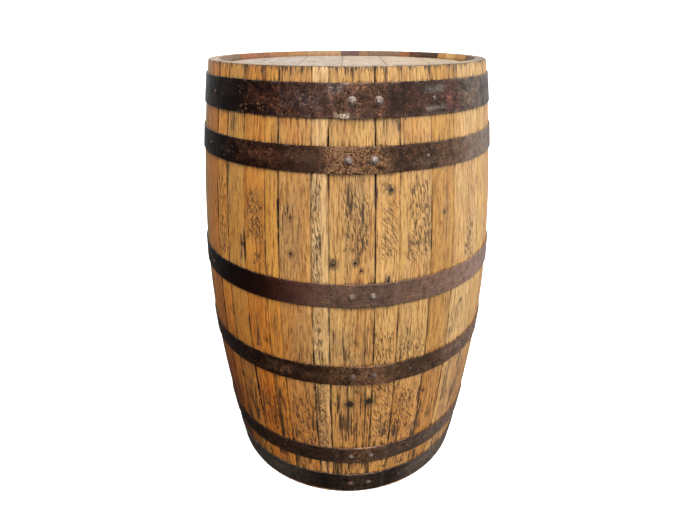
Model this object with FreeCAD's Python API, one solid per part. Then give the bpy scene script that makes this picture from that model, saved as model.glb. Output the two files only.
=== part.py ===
import FreeCAD, Part
import math
import os

# An oak barrel that stands on end. +Z is up, the origin is the middle of its foot, lengths are
# millimetres and angles are degrees. An angle is counted round +Z from the front (-Y) towards +X.

# Driving dimensions of the shell
HEIGHT = 889.0
END_RADIUS = 266.7
BILGE_RADIUS = 308.6
BELLY_POWER = 1.8
STAVE_THICKNESS = 25.0
RIM_WIDTH = 20.0
CHIME_BEVEL = 9.0
OUTER_EASING = 1.2
PROFILE_ARCS = 8

# Staves: where the first one starts, and the width of each in turn
FIRST_JOINT = -64.5
STAVE_WIDTHS = [
    10.8, 7.2, 9.1, 9.1, 5.3, 11.4, 5.6, 15.1, 8.2, 11.9, 10.2, 15.6,
    9.0, 11.5, 11.0, 12.0, 11.25, 9.0, 5.75, 12.25, 6.75, 6.0, 18.0, 5.75,
    10.0, 10.25, 9.75, 11.5, 11.25, 7.25, 15.25, 8.5, 10.0, 10.5, 8.5, 9.5,
]
STAVE_JOINT_GAP = 0.05

# Heads: the flat disc near each end, and the croze that its edge stands in
HEAD_RECESS = 10.0
HEAD_THICKNESS = 24.0
HEAD_OUTER_DROP = 2.5
HEAD_OUTER_BEVEL = 16.0
HEAD_INNER_BEVEL = 26.0
TONGUE_THICKNESS = 7.0
CROZE_DEPTH = 5.0
CROZE_OUTER_TAPER = 1.0
CROZE_INNER_TAPER = 3.2
CROZE_CLEARANCE = 0.2
TOP_HEAD_JOINTS = [-168.0, -92.0, -10.0, 74.0, 158.0]
BOTTOM_HEAD_JOINTS = [-162.0, -71.0, 8.0, 83.0, 167.0]
BOARD_JOINT_GAP = 0.1
DOWEL_RADIUS = 5.0
DOWEL_LENGTH = 50.0
DOWEL_SPREAD = 0.45
DOWEL_CLEARANCE = 0.1
DOWEL_HOLE_SPARE = 1.0

# Hoops: middle height, width, angle of the outer end of the lap, angle of the first screw
HOOP_THICKNESS = 2.0
HOOP_GAP = 0.1
LAP_GAP = 0.15
LAP_INNER_END = 14.5
JOGGLE_START = 15.0
JOGGLE_SWEEP = 2.5
JOGGLE_POINTS = 7
LAP_CORNER = 8.0
LAP_CUTTER_SPARE = 12.0
HOOPS = {
    "top_head_hoop": (840.5, 52.0, -3.2, 30.0),
    "top_quarter_hoop": (751.8, 42.5, -7.5, 27.2),
    "top_bilge_hoop": (518.8, 45.5, -3.0, 26.8),
    "bottom_bilge_hoop": (348.5, 44.0, -2.0, 23.0),
    "bottom_quarter_hoop": (129.0, 46.0, -5.5, 26.3),
    "bottom_head_hoop": (37.5, 56.5, -3.5, 24.4),
}

# Rivets: two angles on each hoop, then the head radius, stub radius and stub height
RIVETS = {
    "top_head_hoop": (1.5, 10.0, 8.0, 4.2, 2.6),
    "top_quarter_hoop": (0.5, 8.5, 8.0, 4.2, 2.6),
    "top_bilge_hoop": (1.5, 8.3, 6.0, 2.4, 3.6),
    "bottom_bilge_hoop": (2.0, 9.5, 7.0, 3.0, 0.8),
    "bottom_quarter_hoop": (1.7, 9.8, 6.5, 3.0, 0.8),
    "bottom_head_hoop": (1.5, 9.6, 6.5, 3.0, 0.8),
}
RIVET_DOME_HEIGHT = 2.4
RIVET_SHANK_RADIUS = 3.0
RIVET_FOOT_RADIUS = 4.2
RIVET_FOOT_DEPTH = 1.4
RIVET_CLEARANCE = 0.05
RIVET_STUB_TAPER = 0.8

# Screws: the turns from a hoop's first screw to its others, and one screw's sizes
SCREW_TURNS = [0.0, 91.0, 183.0, 274.5]
SCREW_HEAD_RADIUS = 3.3
SCREW_HEAD_HEIGHT = 1.9
SCREW_HEAD_ROUNDING = 1.1
SCREW_RECESS_RADIUS = 1.4
SCREW_RECESS_DEPTH = 1.1
SCREW_SHANK_RADIUS = 1.5
SCREW_LENGTH = 19.0
SCREW_POINT = 3.0
SCREW_CLEARANCE = 0.05

# Bung: the tapered plug in the middle of the widest stave
BUNG_STAVE = 23
BUNG_HEIGHT = HEIGHT / 2
BUNG_OUTER_RADIUS = 26.0
BUNG_TAPER = 0.06
BUNG_PROUD = 7.0
BUNG_INSIDE = 4.0
BUNG_CLEARANCE = 0.3
BUNG_EASING = 1.5

UP = FreeCAD.Vector(0, 0, 1)
ORIGIN = FreeCAD.Vector(0, 0, 0)


def outer_radius(z):
    """Outside radius of the staves at height z: flattest at the bilge, steepest at the ends."""
    from_middle = abs(2 * z / HEIGHT - 1)
    return BILGE_RADIUS - (BILGE_RADIUS - END_RADIUS) * from_middle**BELLY_POWER


def inner_radius(z):
    return outer_radius(z) - STAVE_THICKNESS


def outer_slope(z):
    """How fast the outside radius grows with height."""
    step = 0.5
    return (outer_radius(z + step) - outer_radius(z - step)) / (2 * step)


def polar(radius, angle, z):
    turn = math.radians(angle)
    return FreeCAD.Vector(radius * math.sin(turn), -radius * math.cos(turn), z)


def outward(angle, slope=0.0):
    """Unit normal, at an angle, of a cone whose radius grows by slope for each unit of height."""
    normal = polar(1.0, angle, -slope)
    return normal.normalize()


def revolved(points, sweep=360.0, start=0.0):
    """The solid that an outline of (radius, height) points sweeps round the Z axis."""
    corners = [polar(radius, start, z) for radius, z in points]
    face = Part.Face(Part.makePolygon(corners + corners[:1]))
    return face.revolve(ORIGIN, UP, sweep)


def placed(shape, point, direction):
    """A copy of a shape made on the Z axis, moved to a point with its Z along a direction."""
    copy = shape.copy()
    copy.Placement = FreeCAD.Placement(point, FreeCAD.Rotation(UP, direction))
    return copy


def export(name, shape):
    if not shape.isValid():
        raise ValueError("not a valid shape: " + name)
    shape.exportStep("parts/" + name + ".step")


# Shell


def croze_outline(end_height, inwards):
    """The croze at one end, as points down the inside of a stave from that end.

    inwards is 1 at the foot, where going into the barrel is going up, and -1 at the top."""
    mouth = HEAD_RECESS + HEAD_OUTER_DROP
    depths = [
        (mouth - CROZE_CLEARANCE - CROZE_OUTER_TAPER, 0.0),
        (mouth - CROZE_CLEARANCE, CROZE_DEPTH),
        (mouth + TONGUE_THICKNESS + CROZE_CLEARANCE, CROZE_DEPTH),
        (mouth + TONGUE_THICKNESS + CROZE_CLEARANCE + CROZE_INNER_TAPER, 0.0),
    ]
    points = []
    for depth, cut in depths:
        z = end_height + inwards * depth
        points.append((inner_radius(z) + cut, z))
    return points


def end_outline(end_height, inwards):
    """One end of a stave, from its outer corner inwards to the far side of the croze."""
    rim = outer_radius(end_height)
    bevel_end = end_height + inwards * CHIME_BEVEL
    start = [
        (outer_radius(end_height + inwards * OUTER_EASING), end_height + inwards * OUTER_EASING),
        (rim - OUTER_EASING, end_height),
        (rim - RIM_WIDTH, end_height),
        (inner_radius(bevel_end), bevel_end),
    ]
    return start + croze_outline(end_height, inwards)


def profile_arcs(radius_at, low, high, angle):
    """The curve of a stave's inside or outside, as arcs that run from one height to another."""
    step = (high - low) / PROFILE_ARCS
    arcs = []
    for i in range(PROFILE_ARCS):
        heights = [low + step * (i + part) for part in (0.0, 0.5, 1.0)]
        points = [polar(radius_at(z), angle, z) for z in heights]
        arcs.append(Part.Arc(*points).toShape())
    return arcs


def stave_section(angle):
    """The flat section that every stave has, standing in the half plane at an angle."""
    foot = [polar(radius, angle, z) for radius, z in end_outline(0.0, 1)]
    top = [polar(radius, angle, z) for radius, z in end_outline(HEIGHT, -1)]
    edges = profile_arcs(outer_radius, foot[0].z, top[0].z, angle)
    edges += Part.makePolygon(top).Edges
    edges += profile_arcs(inner_radius, top[-1].z, foot[-1].z, angle)
    edges += Part.makePolygon(foot[::-1]).Edges
    return Part.Face(Part.Wire(Part.__sortEdges__(edges)))


def stave_blank(start, width):
    gap = math.degrees(STAVE_JOINT_GAP / BILGE_RADIUS)
    section = stave_section(start + gap / 2)
    return section.revolve(ORIGIN, UP, width - gap)


def bung_axis():
    """A point on the bung stave's outside at the middle of the hole, and the way out of it."""
    angle = FIRST_JOINT + sum(STAVE_WIDTHS[: BUNG_STAVE - 1]) + STAVE_WIDTHS[BUNG_STAVE - 1] / 2
    return polar(outer_radius(BUNG_HEIGHT), angle, BUNG_HEIGHT), outward(angle)


def bung_radius(along):
    """Radius of the bung at a distance outwards from the stave's outside."""
    return BUNG_OUTER_RADIUS + BUNG_TAPER * along


def bung_hole():
    depth = STAVE_THICKNESS * 2
    narrow = bung_radius(-depth) + BUNG_CLEARANCE
    wide = bung_radius(STAVE_THICKNESS) + BUNG_CLEARANCE
    point, out = bung_axis()
    cone = Part.makeCone(narrow, wide, depth + STAVE_THICKNESS)
    return placed(cone, point - out * depth, out)


def bung():
    inner_end = -(STAVE_THICKNESS + BUNG_INSIDE)
    outline = [
        (0.0, inner_end),
        (bung_radius(inner_end) - BUNG_EASING, inner_end),
        (bung_radius(inner_end + BUNG_EASING), inner_end + BUNG_EASING),
        (bung_radius(BUNG_PROUD - BUNG_EASING), BUNG_PROUD - BUNG_EASING),
        (bung_radius(BUNG_PROUD) - BUNG_EASING, BUNG_PROUD),
        (0.0, BUNG_PROUD),
    ]
    point, out = bung_axis()
    return placed(revolved(outline), point, out)


def make_staves(screw_places):
    """Every stave, with a pilot hole under each screw and the bung hole in the bung stave."""
    pilot = screw_shank(SCREW_CLEARANCE)
    margin = math.degrees(2 * SCREW_SHANK_RADIUS / END_RADIUS)
    staves = []
    start = FIRST_JOINT
    for number, width in enumerate(STAVE_WIDTHS, 1):
        stave = stave_blank(start, width)
        for angle, point, out in screw_places:
            past_start = (angle - start + margin) % 360.0
            if past_start < width + 2 * margin:
                stave = stave.cut(placed(pilot, point, out))
        if number == BUNG_STAVE:
            stave = stave.cut(bung_hole())
        staves.append(stave)
        start += width
    return staves


# Heads


def head_disc(end_height, inwards):
    """A whole head: a disc with a shallow bevel outside, a steep one inside and a thin edge."""
    outside = end_height + inwards * HEAD_RECESS
    inside = outside + inwards * HEAD_THICKNESS
    tongue_out = outside + inwards * HEAD_OUTER_DROP
    tongue_in = tongue_out + inwards * TONGUE_THICKNESS
    tip = inner_radius(tongue_out) + CROZE_DEPTH - CROZE_CLEARANCE
    outline = [
        (0.0, outside),
        (tip - HEAD_OUTER_BEVEL, outside),
        (tip, tongue_out),
        (tip, tongue_in),
        (tip - HEAD_INNER_BEVEL, inside),
        (0.0, inside),
    ]
    return revolved(outline), tip


def dowel_places(joints, tip, z):
    """Both dowels of every joint between boards, as points on the joint."""
    places = []
    for x in joints:
        half_length = math.sqrt(tip**2 - x**2)
        for side in (-1, 1):
            places.append(FreeCAD.Vector(x, side * DOWEL_SPREAD * half_length, z))
    return places


def dowel(point, radius, length):
    along = FreeCAD.Vector(1, 0, 0)
    return Part.makeCylinder(radius, length, point - along * (length / 2), along)


def make_head(end_height, inwards, joints):
    """A head's boards, from -X to +X, and the group of dowels that join them."""
    disc, tip = head_disc(end_height, inwards)
    middle = end_height + inwards * (HEAD_RECESS + HEAD_THICKNESS / 2)
    places = dowel_places(joints, tip, middle)
    dowels = [dowel(point, DOWEL_RADIUS, DOWEL_LENGTH) for point in places]
    hole_radius = DOWEL_RADIUS + DOWEL_CLEARANCE
    hole_length = DOWEL_LENGTH + 2 * DOWEL_HOLE_SPARE
    holes = [dowel(point, hole_radius, hole_length) for point in places]
    edges = [-END_RADIUS] + joints + [END_RADIUS]
    boards = []
    for low, high in zip(edges[:-1], edges[1:]):
        corner = FreeCAD.Vector(low + BOARD_JOINT_GAP / 2, -END_RADIUS, middle - HEAD_THICKNESS)
        width = high - low - BOARD_JOINT_GAP
        slab = Part.makeBox(width, 2 * END_RADIUS, 2 * HEAD_THICKNESS, corner)
        boards.append(disc.common(slab).cut(Part.makeCompound(holes)))
    return boards, Part.makeCompound(dowels)


# Hoops


def hoop_base_radius(middle, z):
    """Inside radius of a hoop at height z: a cone that just clears the staves at mid band."""
    return outer_radius(middle) + HOOP_GAP + outer_slope(middle) * (z - middle)


def arc(radius, start, end, z):
    points = [polar(radius, angle, z) for angle in (start, (start + end) / 2, end)]
    return Part.Arc(*points).toShape()


def joggle(radius, z):
    """The short S bend that carries the strip from the inner layer out over the lap."""
    points = []
    for i in range(JOGGLE_POINTS):
        part = i / (JOGGLE_POINTS - 1)
        rise = (1 - math.cos(math.pi * part)) / 2
        angle = JOGGLE_START + JOGGLE_SWEEP * (1 - part)
        points.append(polar(radius + rise * (HOOP_THICKNESS + LAP_GAP), angle, z))
    curve = Part.BSplineCurve()
    curve.interpolate(points)
    return curve.toShape()


def hoop_plan(radius, z, outer_end):
    """The closed outline of the strip in plan at one height, its ends lapping at the front."""
    lapped = radius + HOOP_THICKNESS + LAP_GAP
    joggle_end = JOGGLE_START + JOGGLE_SWEEP
    edges = []
    for side in (0.0, HOOP_THICKNESS):
        edges.append(arc(radius + side, LAP_INNER_END, joggle_end - 360.0, z))
        edges.append(joggle(radius + side, z))
        edges.append(arc(lapped + side, JOGGLE_START, outer_end, z))
    ends = [(radius, LAP_INNER_END), (lapped, outer_end)]
    for inside, angle in ends:
        low = polar(inside, angle, z)
        high = polar(inside + HOOP_THICKNESS, angle, z)
        edges.append(Part.makeLine(low, high))
    return Part.Wire(Part.__sortEdges__(edges))


def lap_corner_cutter(middle, width, outer_end, side):
    """A wedge that clips one corner of the lap's outer end; side is 1 at the top edge."""
    edge = middle + side * width / 2
    radius = hoop_base_radius(middle, edge) + HOOP_THICKNESS + LAP_GAP / 2
    spare = LAP_CUTTER_SPARE
    spare_turn = math.degrees(spare / radius)
    corner_turn = math.degrees(LAP_CORNER / radius)
    corners = [
        polar(radius, outer_end - spare_turn, edge + side * spare),
        polar(radius, outer_end + spare_turn + corner_turn, edge + side * spare),
        polar(radius, outer_end - spare_turn, edge - side * (spare + LAP_CORNER)),
    ]
    face = Part.Face(Part.makePolygon(corners + corners[:1]))
    return face.extrude(outward(outer_end) * spare)


def make_hoop(name, tools):
    """One steel hoop with its ends lapped, its lap corners clipped and its holes cut."""
    middle, width, outer_end, _ = HOOPS[name]
    wires = []
    for z in (middle - width / 2, middle + width / 2):
        wires.append(hoop_plan(hoop_base_radius(middle, z), z, outer_end))
    hoop = Part.makeLoft(wires, True, True)
    for side in (-1, 1):
        hoop = hoop.cut(lap_corner_cutter(middle, width, outer_end, side))
    return hoop.cut(Part.makeCompound(tools))


def hoop_place(name, angle, layers):
    """A point on the outside of a hoop at mid band and the normal there."""
    middle = HOOPS[name][0]
    thickness = layers * HOOP_THICKNESS + (layers - 1) * LAP_GAP
    radius = hoop_base_radius(middle, middle) + thickness
    return polar(radius, angle, middle), outward(angle, outer_slope(middle))


# Rivets and screws


def rivet_shank(clearance, top=0.0):
    """The shank and countersunk foot of a rivet, whose head starts at the plane z = 0."""
    grip = 2 * HOOP_THICKNESS + LAP_GAP
    outline = [
        (0.0, top),
        (RIVET_SHANK_RADIUS + clearance, top),
        (RIVET_SHANK_RADIUS + clearance, RIVET_FOOT_DEPTH - grip),
        (RIVET_FOOT_RADIUS + clearance, -grip),
        (0.0, -grip),
    ]
    return revolved(outline)


def rivet(head_radius, stub_radius, stub_height):
    """A whole rivet: shank, a low domed head and the upset stub on top of the dome."""
    dome_radius = (head_radius**2 + RIVET_DOME_HEIGHT**2) / (2 * RIVET_DOME_HEIGHT)
    ball = Part.makeSphere(dome_radius, FreeCAD.Vector(0, 0, RIVET_DOME_HEIGHT - dome_radius))
    slab = Part.makeCylinder(head_radius, RIVET_DOME_HEIGHT)
    top = RIVET_DOME_HEIGHT + stub_height
    stub_outline = [
        (0.0, 0.0),
        (stub_radius, 0.0),
        (stub_radius, top - stub_height / 3),
        (stub_radius * RIVET_STUB_TAPER, top),
        (0.0, top),
    ]
    return ball.common(slab).fuse([revolved(stub_outline), rivet_shank(0.0)])


def make_rivets():
    """All the rivets, and for each hoop the tools that cut their holes."""
    solids = []
    tools = {}
    hole = rivet_shank(RIVET_CLEARANCE, HOOP_THICKNESS)
    for name, (first, second, head_radius, stub_radius, stub_height) in RIVETS.items():
        pattern = rivet(head_radius, stub_radius, stub_height)
        tools[name] = []
        for angle in (first, second):
            point, out = hoop_place(name, angle, 2)
            solids.append(placed(pattern, point, out))
            tools[name].append(placed(hole, point, out))
    return solids, tools


def screw_shank(clearance, top=0.0):
    """A screw's pointed shank, from the plane z = 0 where its head starts, or from above it."""
    radius = SCREW_SHANK_RADIUS + clearance
    outline = [
        (0.0, top),
        (radius, top),
        (radius, SCREW_POINT - SCREW_LENGTH - clearance),
        (0.0, -SCREW_LENGTH - clearance),
    ]
    return revolved(outline)


def screw():
    """A round-headed screw with a small round recess in its head."""
    head = Part.makeCylinder(SCREW_HEAD_RADIUS, SCREW_HEAD_HEIGHT)
    top_edges = [edge for edge in head.Edges if edge.BoundBox.ZMin > SCREW_HEAD_HEIGHT / 2]
    head = head.makeFillet(SCREW_HEAD_ROUNDING, top_edges)
    recess_foot = FreeCAD.Vector(0, 0, SCREW_HEAD_HEIGHT - SCREW_RECESS_DEPTH)
    recess = Part.makeCylinder(SCREW_RECESS_RADIUS, SCREW_HEAD_HEIGHT, recess_foot)
    return head.fuse(screw_shank(0.0)).cut(recess)


def screw_places(name):
    first = HOOPS[name][3]
    places = []
    for turn in SCREW_TURNS:
        point, out = hoop_place(name, first + turn, 1)
        places.append((first + turn, point, out))
    return places


def main():
    os.makedirs("parts", exist_ok=True)
    rivets, tools = make_rivets()
    screws = []
    all_places = []
    for name in HOOPS:
        for angle, point, out in screw_places(name):
            screws.append(placed(screw(), point, out))
            hole = screw_shank(SCREW_CLEARANCE, HOOP_THICKNESS)
            tools[name].append(placed(hole, point, out))
            all_places.append((angle, point, out))
        export(name, make_hoop(name, tools[name]))
    export("hoop_rivets", Part.makeCompound(rivets))
    export("hoop_screws", Part.makeCompound(screws))
    for number, stave in enumerate(make_staves(all_places), 1):
        name = "bung_stave" if number == BUNG_STAVE else "stave_%02d" % number
        export(name, stave)
    export("bung", bung())
    for end, end_height, inwards, joints in (
        ("top", HEIGHT, -1, TOP_HEAD_JOINTS),
        ("bottom", 0.0, 1, BOTTOM_HEAD_JOINTS),
    ):
        boards, dowels = make_head(end_height, inwards, joints)
        for number, board in enumerate(boards, 1):
            export("%s_head_board_%d" % (end, number), board)
        export(end + "_head_dowels", dowels)


main()
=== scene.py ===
import math

import bpy
import numpy as np
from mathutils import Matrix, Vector


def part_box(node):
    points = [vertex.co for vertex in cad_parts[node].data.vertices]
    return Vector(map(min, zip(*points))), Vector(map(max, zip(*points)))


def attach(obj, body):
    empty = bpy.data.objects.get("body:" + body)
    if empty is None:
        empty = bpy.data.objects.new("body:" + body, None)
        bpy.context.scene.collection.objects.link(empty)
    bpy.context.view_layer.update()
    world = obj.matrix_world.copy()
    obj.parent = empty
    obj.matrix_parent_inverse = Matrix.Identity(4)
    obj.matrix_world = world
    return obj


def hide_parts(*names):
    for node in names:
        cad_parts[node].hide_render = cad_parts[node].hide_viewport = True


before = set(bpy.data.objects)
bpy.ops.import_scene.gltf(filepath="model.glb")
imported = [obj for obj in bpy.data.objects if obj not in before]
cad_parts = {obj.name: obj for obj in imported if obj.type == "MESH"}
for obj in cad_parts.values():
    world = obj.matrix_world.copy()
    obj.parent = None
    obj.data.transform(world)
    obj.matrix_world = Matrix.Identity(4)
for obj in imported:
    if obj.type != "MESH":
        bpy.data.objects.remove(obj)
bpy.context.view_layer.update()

# Looks of an oak barrel that stands on end. Lengths are metres. An angle, where it is written in
# degrees, is counted round +Z from the front (-Y) towards +X.

MM = 0.001

# ---- Sizes that the frame gives, and those of the design that it can't show ----

BARREL = "barrel"
BUNG = "bung"
BUNG_STAVE = 23

BELLY_POWER = 1.8
STAVE_THICKNESS = 25 * MM
RIM_WIDTH = 20 * MM
CHIME_BEVEL = 9 * MM
CROZE_MOUTH = 12.5 * MM
CROZE_DEPTH = 5 * MM
CROZE_CLEARANCE = 0.2 * MM
CROZE_OUTER_TAPER = 1 * MM
CROZE_INNER_TAPER = 3.2 * MM
TONGUE_THICKNESS = 7 * MM

HEAD_THICKNESS = 24 * MM
HEAD_OUTER_DROP = 2.5 * MM
HEAD_OUTER_BEVEL = 16 * MM
HEAD_INNER_BEVEL = 26 * MM

HOOP_THICKNESS = 2 * MM
HOOP_GAP = 0.1 * MM
LAP_GAP = 0.15 * MM
LAP_INNER_END = math.radians(14.5)
LAP_CORNER = 8 * MM
JOGGLE = (math.radians(15.0), math.radians(17.5))

BUNG_RADIUS = 26 * MM
BUNG_TAPER = 0.06
BUNG_PROUD = 7 * MM
BUNG_CLEARANCE = 0.3 * MM


def node_points(node):
    return np.array([v.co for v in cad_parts[node].data.vertices], float).reshape(-1, 3)


def radii(points):
    return np.hypot(points[:, 0], points[:, 1])


def angles(points):
    return np.arctan2(points[:, 0], -points[:, 1])


STAVES = sorted(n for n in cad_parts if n.startswith("stave_") or n == "bung_stave")
HOOPS = [
    "top_head_hoop",
    "top_quarter_hoop",
    "top_bilge_hoop",
    "bottom_bilge_hoop",
    "bottom_quarter_hoop",
    "bottom_head_hoop",
]
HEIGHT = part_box(STAVES[0])[1].z


def measured_radii():
    """The staves' outside radius at the ends and at the bilge, read from one stave."""
    points = node_points(STAVES[0])
    near_end = points[np.abs(points[:, 2] - HEIGHT) < 2 * MM]
    return radii(near_end).max(), radii(points).max()


END_RADIUS, BILGE_RADIUS = measured_radii()


def outer_radius(z):
    from_middle = np.abs(2 * np.asarray(z, float) / HEIGHT - 1)
    return BILGE_RADIUS - (BILGE_RADIUS - END_RADIUS) * from_middle**BELLY_POWER


def outer_slope(z):
    step = 0.5 * MM
    return (outer_radius(z + step) - outer_radius(z - step)) / (2 * step)


def stave_span(node):
    """The two angles, in radians, between which a stave stands."""
    points = node_points(node)
    middle = points.mean(0)
    centre = math.atan2(middle[0], -middle[1])
    offset = (angles(points) - centre + math.pi) % (2 * math.pi) - math.pi
    return centre + offset.min(), centre + offset.max()


def hoop_band(node):
    """A hoop's middle height and width, from its box."""
    low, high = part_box(node)
    return (low.z + high.z) / 2, high.z - low.z


def polar(radius, angle, z):
    """Points at a radius, an angle and a height, all arrays of one shape."""
    return np.stack([radius * np.sin(angle), -radius * np.cos(angle), z + 0 * radius], -1)


def on_shell(degrees, share):
    """A point on the staves' outside, at an angle and a share of the height."""
    z = share * HEIGHT
    return polar(outer_radius(z), math.radians(degrees), z)


def degrees_apart(degrees, place):
    return np.abs((degrees - place + 180) % 360 - 180)


# ---- Smooth repeatable noise for shapes ----

# Where each use of the noise starts counting its seeds
RIVET_SEED = 11
FACE_SEED = 40
SCREW_SEED = 50
CHIP_SEED = 61
HOOP_SEED = 70
BUNG_SEED = 90
JOINT_SEED = 400
ROUGH_SEED = 500
SOOTY_SEED = 600
MARK_SEED = 800


def lattice(ix, iy, seed):
    """A repeatable number from 0 to 1 for each pair of whole numbers; its products may wrap round."""
    with np.errstate(over="ignore"):
        h = ix.astype(np.int64) * 374761393 + iy.astype(np.int64) * 668265263 + seed * 974634777
        h = (h ^ (h >> 13)) * 1274126177 & 0xFFFFFFFF
        h = (h ^ (h >> 16)) * 2246822519 & 0xFFFFFFFF
    return (h ^ (h >> 15) & 0xFFFF).astype(float) % 65536 / 65535


def chance(first, second, seed):
    """One such number for two whole numbers."""
    return float(lattice(np.array(first), np.array(second), seed))


def noise(x, y, seed):
    """Smooth noise from -1 to 1 over a plane, one hill to a unit."""
    x, y = np.broadcast_arrays(np.asarray(x, float), np.asarray(y, float))
    ix, iy = np.floor(x), np.floor(y)
    fx, fy = x - ix, y - iy
    fx, fy = fx * fx * (3 - 2 * fx), fy * fy * (3 - 2 * fy)
    low = lattice(ix, iy, seed) * (1 - fx) + lattice(ix + 1, iy, seed) * fx
    high = lattice(ix, iy + 1, seed) * (1 - fx) + lattice(ix + 1, iy + 1, seed) * fx
    return 2 * (low * (1 - fy) + high * fy) - 1


def smooth_step(value, low, high):
    t = np.clip((value - low) / (high - low), 0, 1)
    return t * t * (3 - 2 * t)


# ---- Mesh helpers ----


def grid_faces(rows, columns, start=0):
    """Four-cornered faces over rings of points stored one after the other, each ring closed."""
    r, c = np.meshgrid(np.arange(rows - 1), np.arange(columns), indexing="ij")
    a = r * columns + c
    b = r * columns + (c + 1) % columns
    return np.stack([a, b, b + columns, a + columns], -1).reshape(-1, 4) + start


def block_faces(rows, columns, layers, hole=None):
    """Faces all over a block of points; hole is a pair of rows and a pair of columns, and the
    cells between them are cut right through."""
    index = np.arange(rows * columns * layers).reshape(rows, columns, layers)
    faces = []

    def quads(sheet, turned, keep=None):
        a, b, c, d = sheet[:-1, :-1], sheet[:-1, 1:], sheet[1:, 1:], sheet[1:, :-1]
        made = np.stack([a, d, c, b] if turned else [a, b, c, d], -1)
        faces.append(made.reshape(-1, 4) if keep is None else made[keep])

    keep = None
    if hole:
        (bottom, top), (left, right) = hole
        keep = np.ones((rows - 1, columns - 1), bool)
        keep[bottom:top, left:right] = False
        quads(index[bottom, left : right + 1], True)
        quads(index[top, left : right + 1], False)
        quads(index[bottom : top + 1, left], False)
        quads(index[bottom : top + 1, right], True)
    quads(index[:, :, 0], False, keep)
    quads(index[:, :, -1], True, keep)
    quads(index[:, 0], True)
    quads(index[:, -1], False)
    quads(index[0], True)
    quads(index[-1], False)
    return np.concatenate(faces)


def make_mesh(name, points, faces, material, attributes=None, smooth_angle=35):
    mesh = bpy.data.meshes.new(name)
    mesh.from_pydata(np.asarray(points).reshape(-1, 3).tolist(), [], [list(f) for f in faces])
    for key, values in (attributes or {}).items():
        values = np.asarray(values, np.float32)
        kind = "FLOAT_VECTOR" if values.ndim == 2 else "FLOAT"
        field = "vector" if values.ndim == 2 else "value"
        layer = mesh.attributes.new(key, kind, "POINT")
        layer.data.foreach_set(field, values.ravel())
    mesh.materials.append(material)
    mesh.validate()
    mesh.shade_smooth()
    mesh.set_sharp_from_angle(angle=math.radians(smooth_angle))
    piece = bpy.data.objects.new(name, mesh)
    bpy.context.scene.collection.objects.link(piece)
    return piece


def make_block(name, points, faces, material, attributes):
    """A mesh from a block of points, without the points inside it that no face uses."""
    used, faces = np.unique(faces, return_inverse=True)
    kept = {}
    for key, values in attributes.items():
        kept[key] = np.squeeze(values.reshape(points[..., 0].size, -1)[used])
    return make_mesh(name, points.reshape(-1, 3)[used], faces.reshape(-1, 4), material, kept)


def finish_piece(piece, body, slot, *nodes):
    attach(piece, body)
    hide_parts(*nodes)
    return piece


# ---- Node helpers ----


class Value:
    """What a node gives out. Sums with it add Math nodes, and a tuple scales it as a vector."""

    def __init__(self, shader, socket):
        self.shader = shader
        self.socket = socket

    def __add__(self, other):
        return self.shader.math("ADD", self, other)

    def __sub__(self, other):
        return self.shader.math("SUBTRACT", self, other)

    def __rsub__(self, other):
        return self.shader.math("SUBTRACT", other, self)

    def __mul__(self, other):
        if isinstance(other, tuple):
            return self.shader.vector("MULTIPLY", self, other)
        return self.shader.math("MULTIPLY", self, other)

    def __truediv__(self, other):
        return self.shader.math("DIVIDE", self, other)

    def __abs__(self):
        return self.shader.math("ABSOLUTE", self)

    __radd__ = __add__
    __rmul__ = __mul__


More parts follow.
